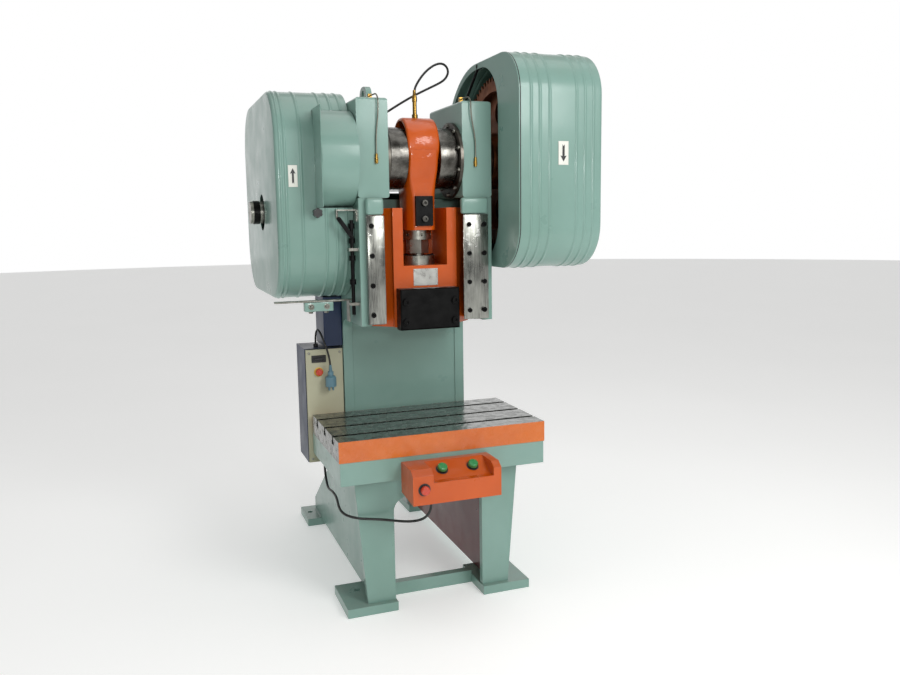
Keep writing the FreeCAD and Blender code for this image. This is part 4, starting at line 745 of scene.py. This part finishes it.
def make_guard_clamp():
    """The painted clamp that holds the guard's foot strip, with its two bolts."""
    low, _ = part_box("flywheel_guard")
    foot = low.z - 0.0065
    bm = bmesh.new()
    soft_box(bm, (-0.520, -0.512, foot - 0.040), (-0.396, -0.476, foot), 0.003, 2)
    finish_piece("guard_foot_clamp", bm, "green_paint", "frame")
    bm = bmesh.new()
    for x in (-0.492, -0.424):
        hex_bolt(bm, (x, -0.494, foot - 0.040), -Z_WAY, 0.017, 0.010)
        hex_bolt(bm, (x, -0.512, foot - 0.020), -Y_WAY, 0.013, 0.008)
    finish_piece("guard_foot_bolts", bm, "bare_steel", "frame")


def make_stay():
    """A small black stay from the right bearing block to the top of the gear guard."""
    _, block_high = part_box("bearing_blocks")
    guard_low, guard_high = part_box("gear_guard")
    foot = Vector((block_high.x - 0.045, -0.410, block_high.z))
    tip = Vector((guard_low.x + 0.012, -0.410, guard_high.z - 0.012))
    bm = bmesh.new()
    way = tip - foot
    turn_about(bm, foot, way, [(0, 0), (0, 0.006), (way.length, 0.006), (way.length, 0)], 12)
    hex_bolt(bm, foot, Z_WAY, 0.022, 0.014)
    turn_about(bm, tip - Z_WAY * 0.014, Z_WAY,
               [(0, 0), (0, 0.013), (0.004, 0.015), (0.016, 0.015), (0.02, 0.011), (0.02, 0)], 20)
    finish_piece("gear_guard_stay", bm, "black_steel", "frame")


def make_ring_bolts():
    _, ring_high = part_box("bearing_rings")
    face = ring_high.x - 0.014
    bm = bmesh.new()
    for step in range(10):
        angle = 2 * pi * (step + 0.5) / 10
        spot = Vector((face, CRANK.y + 0.150 * cos(angle), CRANK.z + 0.150 * sin(angle)))
        turn_about(bm, spot, -X_WAY,
                   [(0, 0.009), (0.006, 0.009), (0.0075, 0.0075), (0.0075, 0.0045), (0.003, 0.004),
                    (0.003, 0)], 16)
    finish_piece("bearing_ring_screws", bm, "bare_steel", "frame")


def make_gib_caps():
    low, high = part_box("gibs")
    for name, side in (("left", -1), ("right", 1)):
        inner, outer = (0.198 if side < 0 else 0.150) * side, high.x * side
        bm = bmesh.new()
        soft_box(bm, (min(inner, outer), low.y - 0.008, high.z + 0.001), (max(inner, outer), low.y + 0.021,
                 high.z + 0.072), 0.012, 4)
        finish_piece("gib_cap_" + name, bm, "green_paint", "frame")


def make_ram_plate():
    face = -0.588
    bm = bmesh.new()
    soft_box(bm, (-0.056, face - 0.0012, 1.402), (0.056, face, 1.476), 0.0005, 1)
    for x in (-0.050, 0.050):
        for z in (1.408, 1.470):
            turn_about(bm, (x, face - 0.0012, z), -Y_WAY, [(0, 0.0028), (0.001, 0.0024), (0.0016, 0)], 12)
    finish_piece("ram_blank_plate", bm, "bright_plate", "ram")


def corner_ring(half, front, shoulder, back, slope, height, rounding=0.012, steps=3):
    """One level of the rod: flat front and back, slanted flanks to the full width, rounded corners."""
    outline = [(-half, shoulder), (-slope, front), (slope, front), (half, shoulder), (half, back),
               (-half, back)]
    points = []
    for index, corner in enumerate(outline):
        corner = Vector(corner)
        before, after = Vector(outline[index - 1]), Vector(outline[(index + 1) % len(outline)])
        start = corner + (before - corner).normalized() * rounding
        stop = corner + (after - corner).normalized() * rounding
        for step in range(steps + 1):
            way = step / steps
            spot = start * (1 - way) ** 2 + corner * (2 * way * (1 - way)) + stop * way ** 2
            points.append(Vector((spot.x, spot.y, height)))
    return points


def make_rod_casting():
    """The connecting rod as one smooth casting: a round big end that runs down into a deep tapered foot."""
    low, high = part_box("connecting_rod")
    width, foot = high.x, low.z
    radius = 0.122
    pin_z = high.z - radius
    bm = bmesh.new()
    turn_about(bm, (0, CRANK.y, pin_z), X_WAY,
               [(-width, 0.1082), (-width, radius - 0.009), (-width + 0.003, radius - 0.003),
                (-width + 0.010, radius), (width - 0.010, radius), (width - 0.003, radius - 0.003),
                (width, radius - 0.009), (width, 0.1082), (-width, 0.1082)], 96)
    bmesh.ops.recalc_face_normals(bm, faces=bm.faces)
    finish_piece("rod_big_end", bm, "filmed_orange", "rod", 50)
    fronts = [(0.000, 0.096), (0.150, 0.096), (0.215, 0.099), (0.262, 0.110), (0.300, 0.1185),
              (0.340, 0.1215)]
    bm = bmesh.new()
    rings = []
    for step in range(25):
        rise = 0.340 * step / 24
        for (z0, f0), (z1, f1) in zip(fronts, fronts[1:]):
            if z0 <= rise <= z1:
                share = (rise - z0) / (z1 - z0)
                front = f0 + (f1 - f0) * share
        ease = min(max((rise - 0.10) / 0.18, 0), 1)
        ease = ease * ease * (3 - 2 * ease)
        half = (0.066 + (width - 0.003 - 0.066) * ease)
        slope = 0.043 + 0.021 * ease
        back = 0.048 + 0.032 * ease
        shoulder = front - 0.040 + 0.016 * ease
        rings.append([bm.verts.new(point) for point in
                      corner_ring(half, CRANK.y - front, CRANK.y - shoulder, CRANK.y + back, slope,
                                  foot + rise)])
    for first, second in zip(rings, rings[1:]):
        for index in range(len(first)):
            following = (index + 1) % len(first)
            bm.faces.new([first[index], first[following], second[following], second[index]])
    bm.faces.new(list(reversed(rings[0])))
    bm.faces.new(rings[-1])
    bmesh.ops.recalc_face_normals(bm, faces=bm.faces)
    shank = finish_piece("rod_shank", bm, "filmed_orange", None, 40)
    bm = bmesh.new()
    turn_about(bm, (-width - 0.01, CRANK.y, pin_z), X_WAY,
               [(0, 0), (0, 0.1084), (2 * width + 0.02, 0.1084), (2 * width + 0.02, 0)], 96)
    turn_about(bm, (0, CRANK.y, foot - 0.01), Z_WAY, [(0, 0), (0, 0.0403), (0.182, 0.0403), (0.182, 0)], 48)
    bmesh.ops.recalc_face_normals(bm, faces=bm.faces)
    mesh = bpy.data.meshes.new("rod_bores")
    bm.to_mesh(mesh)
    bm.free()
    bores = bpy.data.objects.new("rod_bores", mesh)
    bpy.context.scene.collection.objects.link(bores)
    drill = shank.modifiers.new("bores", "BOOLEAN")
    drill.object = bores
    drill.solver = "EXACT"
    bpy.context.view_layer.update()
    apply_modifiers(shank)
    bpy.data.objects.remove(bores)
    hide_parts("connecting_rod")
    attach(shank, "rod")


def make_gib_keepers():
    """Filmed steel keeper plates in front of the ways, with their inner row of screws."""
    low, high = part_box("gibs")
    for name, side, inner in (("left", -1, 0.198), ("right", 1, 0.156)):
        bm = bmesh.new()
        start, stop = sorted((inner * side, (high.x - 0.001) * side))
        soft_box(bm, (start, low.y - 0.0065, low.z + 0.002), (stop, low.y - 0.0005, high.z - 0.002),
                 0.0015, 2)
        finish_piece("gib_keeper_" + name, bm, "filmed_steel", "frame")
        bm = bmesh.new()
        columns = (0.254,) if side < 0 else (0.250, 0.182)
        for x in columns:
            for z in (1.289, 1.414, 1.539, 1.664):
                turn_about(bm, (x * side, low.y - 0.0065, z), -Y_WAY,
                           [(0, 0.010), (0.007, 0.010), (0.008, 0.009), (0.008, 0.0055), (0.003, 0.005),
                            (0.003, 0)], 20)
        finish_piece("gib_keeper_screws_" + name, bm, "black_steel", "frame")


def make_clutch_link():
    bm = bmesh.new()
    turn_about(bm, (-0.383, -0.574, 1.694), Z_WAY, [(0, 0), (0, 0.005), (0.034, 0.005), (0.034, 0)], 14)
    finish_piece("clutch_link_pin", bm, "bare_steel", "frame")
    top, foot = Vector((-0.379, -0.596, 1.695)), Vector((-0.326, -0.596, 1.620))
    way = (foot - top).normalized()
    side = way.cross(Y_WAY).normalized() * 0.009
    bm = bmesh.new()
    outline = []
    for centre, start in ((top, 1), (foot, -1)):
        for step in range(9):
            angle = pi * step / 8
            outline.append(centre + side * (cos(angle) * start) - way * (0.009 * sin(angle) * start))
    prism(bm, outline, Y_WAY * 0.006)
    for spot in (top, foot):
        turn_about(bm, spot, -Y_WAY, [(0, 0.006), (0.004, 0.006), (0.005, 0.004), (0.005, 0)], 14)
    bmesh.ops.recalc_face_normals(bm, faces=bm.faces)
    finish_piece("clutch_link", bm, "black_steel", "clutch_rod")


# ---------------------------------------------------------------- fittings on the cabinet and console

def make_cabinet_fittings():
    low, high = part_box("cabinet_panel")
    face = low.y
    bm = bmesh.new()
    for x in (low.x + 0.014, high.x - 0.014):
        for z in (low.z + 0.016, high.z - 0.016):
            turn_about(bm, (x, face, z), -Y_WAY, [(0, 0.006), (0.0014, 0.006), (0.0026, 0.0042),
                                                  (0.0026, 0)], 16)
    finish_piece("cabinet_panel_screws", bm, "bare_steel", "frame")
    bm = bmesh.new()
    soft_box(bm, (-0.450, face - 0.003, 1.036), (-0.382, face, 1.070), 0.001, 1)
    soft_box(bm, (-0.440, face - 0.013, 1.047), (-0.392, face - 0.003, 1.059), 0.004, 3)
    finish_piece("cabinet_switch_handle", bm, "black_plastic", "frame")
    button_low, button_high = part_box("cabinet_button")
    button = (Vector(button_low) + Vector(button_high)) / 2
    bm = bmesh.new()
    turn_about(bm, (button.x, face, button.z), -Y_WAY, [(0, 0.0105), (0, 0.022), (0.001, 0.022),
                                                        (0.0013, 0.0215),
                                                       (0.0013, 0.0105), (0, 0.0105)], 32)
    finish_piece("cabinet_button_collar", bm, "yellow_plastic", "frame")


def make_lubricator_fittings():
    low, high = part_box("lubricator")
    bm = bmesh.new()
    soft_box(bm, (low.x - 0.001, low.y - 0.001, high.z - 0.026),
             (high.x - 0.0005, high.y + 0.001, high.z - 0.022),
             0.0015, 2)
    finish_piece("oil_pump_lid_seam", bm, "black_rubber", "frame")
    middle = (low + high) / 2
    bm = bmesh.new()
    turn_about(bm, (middle.x, middle.y + 0.03, high.z), Z_WAY,
               [(0, 0.014), (0.006, 0.014), (0.006, 0.019), (0.018, 0.019), (0.021, 0.016), (0.021, 0)], 32)
    finish_piece("oil_filler_cap", bm, "black_plastic", "frame")


def make_console_collars():
    low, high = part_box("console_box")
    for key in ("palm_button_left", "palm_button_right", "stop_button"):
        button_low, button_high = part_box(key)
        middle = (Vector(button_low) + Vector(button_high)) / 2
        if key == "stop_button":
            seat, way = Vector((middle.x, low.y, middle.z)), -Y_WAY
        else:
            seat, way = Vector((middle.x, (low.y + high.y) / 2, high.z - 0.0275)), Vector((0, -0.513, 0.858))
        bm = bmesh.new()
        turn_about(bm, seat, way, [(0, 0.0102), (0, 0.026), (0.0008, 0.026), (0.0011, 0.025),
                                   (0.0011, 0.0102),
                                   (0, 0.0102)], 32)
        finish_piece(key + "_collar", bm, "black_plastic", "frame")


def make_motor_fittings():
    """Cooling ribs, a fan cowl and a terminal box for the motor."""
    low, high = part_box("motor_housing")
    radius = 0.117
    bm = bmesh.new()
    for step in range(40):
        angle = 2 * pi * step / 40
        if -0.5 < cos(angle + pi / 2) < 0.5 and sin(angle) < -0.80:
            continue
        if sin(angle) > 0.93:
            continue
        out = Vector((0, cos(angle), sin(angle)))
        side = Vector((0, -sin(angle), cos(angle))) * 0.0018
        foot, tip = MOTOR + out * radius, MOTOR + out * (radius + 0.009)
        corners = [foot - side * 1.5, foot + side * 1.5, tip + side, tip - side]
        for corner in corners:
            corner.x = low.x + 0.060
        prism(bm, corners, X_WAY * (high.x - low.x - 0.110))
    bmesh.ops.recalc_face_normals(bm, faces=bm.faces)
    finish_piece("motor_ribs", bm, "motor_paint", "frame")
    bm = bmesh.new()
    start, stop = low.x + 0.002, low.x + 0.058
    turn_about(bm, (0, MOTOR.y, MOTOR.z), X_WAY,
               [(start, 0.1182), (start, 0.124), (start + 0.004, 0.1265), (stop, 0.1265), (stop, 0.1182),
                (start, 0.1182)], 64)
    start, stop = high.x - 0.048, high.x - 0.001
    turn_about(bm, (0, MOTOR.y, MOTOR.z), X_WAY,
               [(start, 0.1182), (start, 0.1265), (stop - 0.006, 0.1265), (stop, 0.1215), (stop, 0.1182),
                (start, 0.1182)], 64)
    bmesh.ops.recalc_face_normals(bm, faces=bm.faces)
    finish_piece("motor_end_shields", bm, "motor_paint", "frame")
    bm = bmesh.new()
    middle = (low.x + high.x) / 2
    soft_box(bm, (middle - 0.060, MOTOR.y - 0.050, MOTOR.z + 0.108), (middle + 0.060, MOTOR.y + 0.050,
             MOTOR.z + 0.150), 0.006, 3)
    soft_box(bm, (middle - 0.063, MOTOR.y - 0.053, MOTOR.z + 0.150), (middle + 0.063, MOTOR.y + 0.053,
             MOTOR.z + 0.164), 0.005, 3)
    for x in (-0.050, 0.050):
        for y in (-0.040, 0.040):
            hex_bolt(bm, (middle + x, MOTOR.y + y, MOTOR.z + 0.164), Z_WAY, 0.010, 0.006)
    finish_piece("motor_terminal_box", bm, "motor_paint", "frame")


def make_anchor_details():
    """Weld fillets where the uprights meet the foot plates."""
    _, feet_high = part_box("feet")
    bm = bmesh.new()
    for node in ("side_plate_left", "side_plate_right"):
        low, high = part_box(node)
        for face, way in ((low.x, -1), (high.x, 1)):
            outline = [(face, 0.440, feet_high.z), (face + way * 0.008, 0.440, feet_high.z),
                       (face + way * 0.003, 0.440, feet_high.z + 0.003), (face, 0.440, feet_high.z + 0.008)]
            prism(bm, outline, Y_WAY * 0.150)
    bmesh.ops.recalc_face_normals(bm, faces=bm.faces)
    finish_piece("foot_weld_fillets", bm, "green_paint", "frame")


def make_hose_ends():
    bm = bmesh.new()
    turn_about(bm, (-0.146, -0.262, 2.150), X_WAY,
               [(0, 0.0052), (0, 0.0085), (0.010, 0.0085), (0.012, 0.0072),
                (0.026, 0.0068), (0.028, 0.0052)], 24)
    finish_piece("hose_ferrule_frame", bm, "brass", "frame")
    bm = bmesh.new()
    turn_about(bm, (0, -0.478, 2.216), Z_WAY,
               [(0, 0.0052), (0, 0.0085), (0.010, 0.0085), (0.012, 0.0072),
                (0.028, 0.0068), (0.030, 0.0052)], 24)
    finish_piece("hose_ferrule_rod", bm, "brass", "rod")
    bm = bmesh.new()
    profile = [(0, 0.0046), (0, 0.0095)]
    for step in range(5):
        start = 0.002 + step * 0.006
        profile += [(start, 0.0092 - step * 0.0008), (start + 0.0035, 0.0090 - step * 0.0008),
                    (start + 0.0036, 0.0072 - step * 0.0005), (start + 0.0055, 0.0070 - step * 0.0005)]
    turn_about(bm, (-0.371, -0.285, 0.996), Z_WAY, profile + [(0.033, 0.0046)], 24)
    finish_piece("plug_strain_relief", bm, "plug_plastic", "frame")


def make_floor():
    """A pale studio floor."""
    material, tree, shader, place = new_material("pale_floor")
    join(tree, shader, colour=mixed(tree, noise(tree, place, 1.5, 2), "ECECEA", "F4F4F2"))
    shader.inputs["Roughness"].default_value = 0.8
    shader.inputs["Emission Color"].default_value = (1, 1, 1, 1)
    shader.inputs["Emission Strength"].default_value = 0.33
    bm = bmesh.new()
    bmesh.ops.create_circle(bm, cap_ends=True, segments=64, radius=30)
    mesh = bpy.data.meshes.new("floor")
    bm.to_mesh(mesh)
    bm.free()
    mesh.materials.append(material)
    floor = bpy.data.objects.new("floor", mesh)
    bpy.context.scene.collection.objects.link(floor)


make_camera()
make_studio()
make_floor()
make_cords()
paint_nodes()
make_flywheel_guard()
make_gear_guard()
make_guard_fittings()
make_guard_clamp()
make_stay()
make_ring_bolts()
make_gib_caps()
make_gib_keepers()
make_rod_casting()
make_ram_plate()
make_clutch_link()
make_cabinet_fittings()
make_lubricator_fittings()
make_console_collars()
make_motor_fittings()
make_anchor_details()
make_hose_ends()
